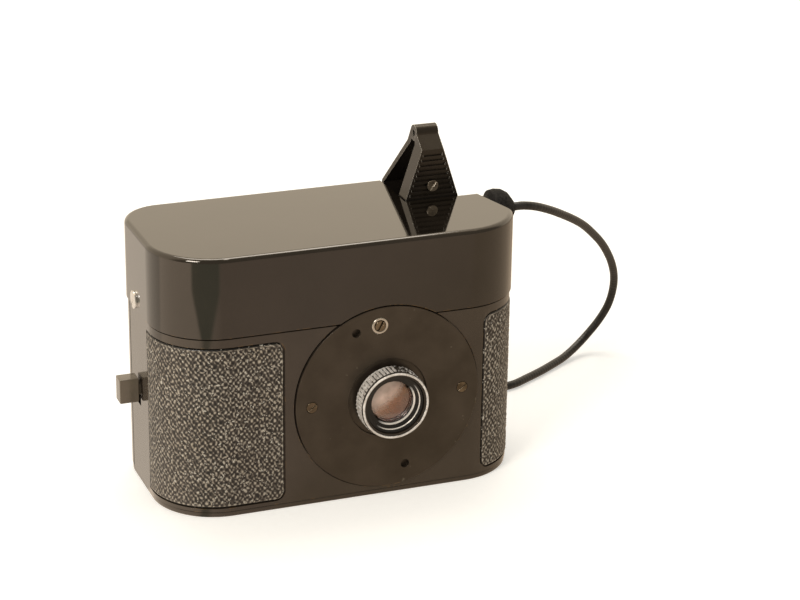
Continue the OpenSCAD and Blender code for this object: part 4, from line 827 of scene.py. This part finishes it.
for name, node, size in (("front_lens", "front_glass", (4.79, -3.5, -1.7, 11, True)),
                         ("middle_lens", "middle_glass", (4.09, 1.0, 2.5, 14, False)),
                         ("rear_lens", "rear_glass", (3.79, 6.4, 8.4, 9, False))):
    new_piece(name, curved_glass(*size), glass, "case", [node], 40)

# ---------------------------------------------------------------------------------------
# Shutter, stops and film space: blued steel discs behind the lens, a flocked light box, and
# the film that runs past the gate from its can to the take-up spool.
# ---------------------------------------------------------------------------------------

# Blued spring steel: a hard satin blue-grey, browner where the oxide is thick.
blued = mottled_material("blued_spring_steel", ((0.3, "#3A4552"), (0.72, "#6E6A66")), 220.0, 5.0,
                         (0.22, 0.4), Metallic=1.0)[0]

# Black flock and crackle paint: dead matt with a fine nap, so that it throws no light back.
flock = mottled_material("black_flock", ((0.0, "#0C0B0B"), (1.0, "#1E1C1B")), 4000.0, 3.0,
                         relief=(0.6, 0.00005), Roughness=0.9, Sheen_Weight=0.1)[0]

# Film base: grey-violet acetate under a shiny dark emulsion.
film_base = mottled_material("panchromatic_film", ((0.0, "#2A2028"), (1.0, "#4A3B42")), 90.0, 2.0,
                             (0.12, 0.24))[0]

for row in (
        ("cell_plate", "cell_plate_steel", "case", "spring_steel", blued, 0.08),
        ("stop_disc", "stop_disc_steel", "stops", "spring_steel", blued, 0.05),
        ("shutter_disc", "shutter_disc_steel", "shutter", "spring_steel", blued, 0.05),
        ("light_box", "flocked_light_box", "case", "flock_black", flock, 0.15),
        ("film_gate", "polished_film_gate", "case", "nickel", nickel, 0.1),
        ("film", "film_strip", "case", "film_base", film_base, 0.03),
        ("supply_spool", "supply_reel", "supply", "flock_black", flock, 0.12),
        ("take_up_spool", "take_up_reel", "motor", "flock_black", flock, 0.12),
        ("pressure_plate", "pressure_pad", "back", "flock_black", flock, 0.2),
        ("pressure_springs", "pressure_leaf_springs", "back", "spring_steel", blued, 0.05)):
    cad_piece(*row)

# ---------------------------------------------------------------------------------------
# Spring motor: brass plates on pillars, with the spring barrel, the centre wheel and the
# governor between them, and the folding winding key in the base.
# ---------------------------------------------------------------------------------------

# Brushed clock brass: warm yellow with a straight grain, and a brown bloom of old lacquer.
BRUSH_MM = 0.06
clock_brass, tree, shader, place = mottled_material(
    "brushed_clock_brass", ((0.3, "#8C6A36"), (0.7, "#C9A468")), 150.0, 5.0, (0.2, 0.38), Metallic=1.0)
along = add(tree, "Mapping", {"Vector": place}, s_Scale=(60.0, 1000 / BRUSH_MM, 1000 / BRUSH_MM))
brushed = add(tree, "TexNoise", {"Vector": along}, s_Scale=1.0, s_Detail=2.0)
relief = add(tree, "Bump", {"Height": brushed}, s_Strength=0.2, s_Distance=0.00002)
feed(shader, {"Normal": relief})

for row in (
        ("movement_plate", "movement_lower_plate", "case", "movement_brass", clock_brass, 0.12),
        ("movement_bridge", "movement_upper_plate", "case", "movement_brass", clock_brass, 0.12),
        ("pillars", "movement_pillars", "case", "movement_brass", clock_brass, 0.12),
        ("spring_barrel", "going_barrel", "motor", "movement_brass", clock_brass, 0.06),
        ("mainspring", "mainspring_coil", "motor", "spring_steel", blued, 0.03),
        ("centre_wheel", "centre_wheel_cut", "centre", "movement_brass", clock_brass, 0.05),
        ("governor", "governor_fan", "governor", "movement_brass", clock_brass, 0.05),
        ("winding_arbor", "winding_arbor_turned", "key", "nickel", nickel, 0.1),
        ("key_bow", "folding_key_bow", "key_bow", "nickel", nickel, 0.25)):
    cad_piece(*row)

# ---------------------------------------------------------------------------------------
# Release and catch: the ribbed release lever on its bracket in the recess, the pin it
# pushes, the rubber boot of the cable, and the sliding catch on the left side.
# ---------------------------------------------------------------------------------------

# Black japanned steel: semi-gloss, with pale bare metal painted along the side edges as painted
# highlight.
EDGE_SHEEN_MM = 0.15
japan, tree, shader, place = blank_material("black_japanned_steel")
cloud = add(tree, "TexNoise", {"Vector": place}, s_Scale=350.0, s_Detail=5.0)
tone = add(tree, "ValToRGB", {"Fac": cloud})
set_stops(tone, (0.0, "#0D0B0A"), (1.0, "#231F1B"))
rounded = add(tree, "Bevel", s_Radius=EDGE_SHEEN_MM / 1000)
lean = add(tree, "VectorMath", {0: rounded, 1: add(tree, "NewGeometry").outputs["Normal"]},
           operation="SUBTRACT")
axes = add(tree, "SeparateXYZ", {0: lean})
sideways = add(tree, "Math", {0: axes.outputs["X"]}, operation="ABSOLUTE")
# Painted highlight: the side edges are drawn as pale bare metal.
edge_share = add(tree, "MapRange", {"Value": sideways}, s_1=0.15, s_2=0.4, s_4=0.7)
mark_level = add(tree, "Math", {0: cloud, 2: edge_share}, operation="MULTIPLY_ADD", s_1=0.3)
metal_showing = add(tree, "MapRange", {"Value": mark_level}, s_1=0.45, s_2=0.7)
colour = add(tree, "Mix", {0: metal_showing, 6: tone}, data_type="RGBA", s_7=linear("#E6E0D4"))
metal = add(tree, "Math", {0: metal_showing}, operation="MULTIPLY", s_1=0.4)
gloss = add(tree, "MapRange", {"Value": cloud}, s_3=0.2, s_4=0.36)
feed(shader, {"Base Color": colour.outputs[2], "Roughness": gloss, "Metallic": metal}, IOR=1.55,
     Specular_Tint=linear("#FFF0DA"))

catch_enamel = enamel_material("brown_black_enamel_catch", "#5A5145", "#6E6455", 0.3)
for row in (("lever_bracket", "lever_bracket_bent", "case", "lever_black", japan, 0.12),
            ("lever_pin", "lever_pivot", "case", "nickel", nickel, 0.1),
            ("release_lever", "ribbed_release_lever", "lever", "lever_black", japan, 0.06, 2, False),
            ("release_pin", "release_push_pin", "pin", "nickel", nickel, 0.1),
            ("side_catch", "back_catch", "catch", "lever_black", catch_enamel, 0.22)):
    cad_piece(*row)

# Grey moulded rubber: matt, pitted and dusty, with the mould's grit on it.
boot = mottled_material("grey_moulded_rubber", ((0.42, "#080706"), (0.62, "#262320")), 1300.0, 6.0,
                        relief=(0.7, 0.00015), fineness=0.75, Roughness=0.78, Specular_IOR_Level=0.3)[0]
cad_piece("cable_gland", "cable_boot", "case", "boot_rubber", boot, 0.35, 3)
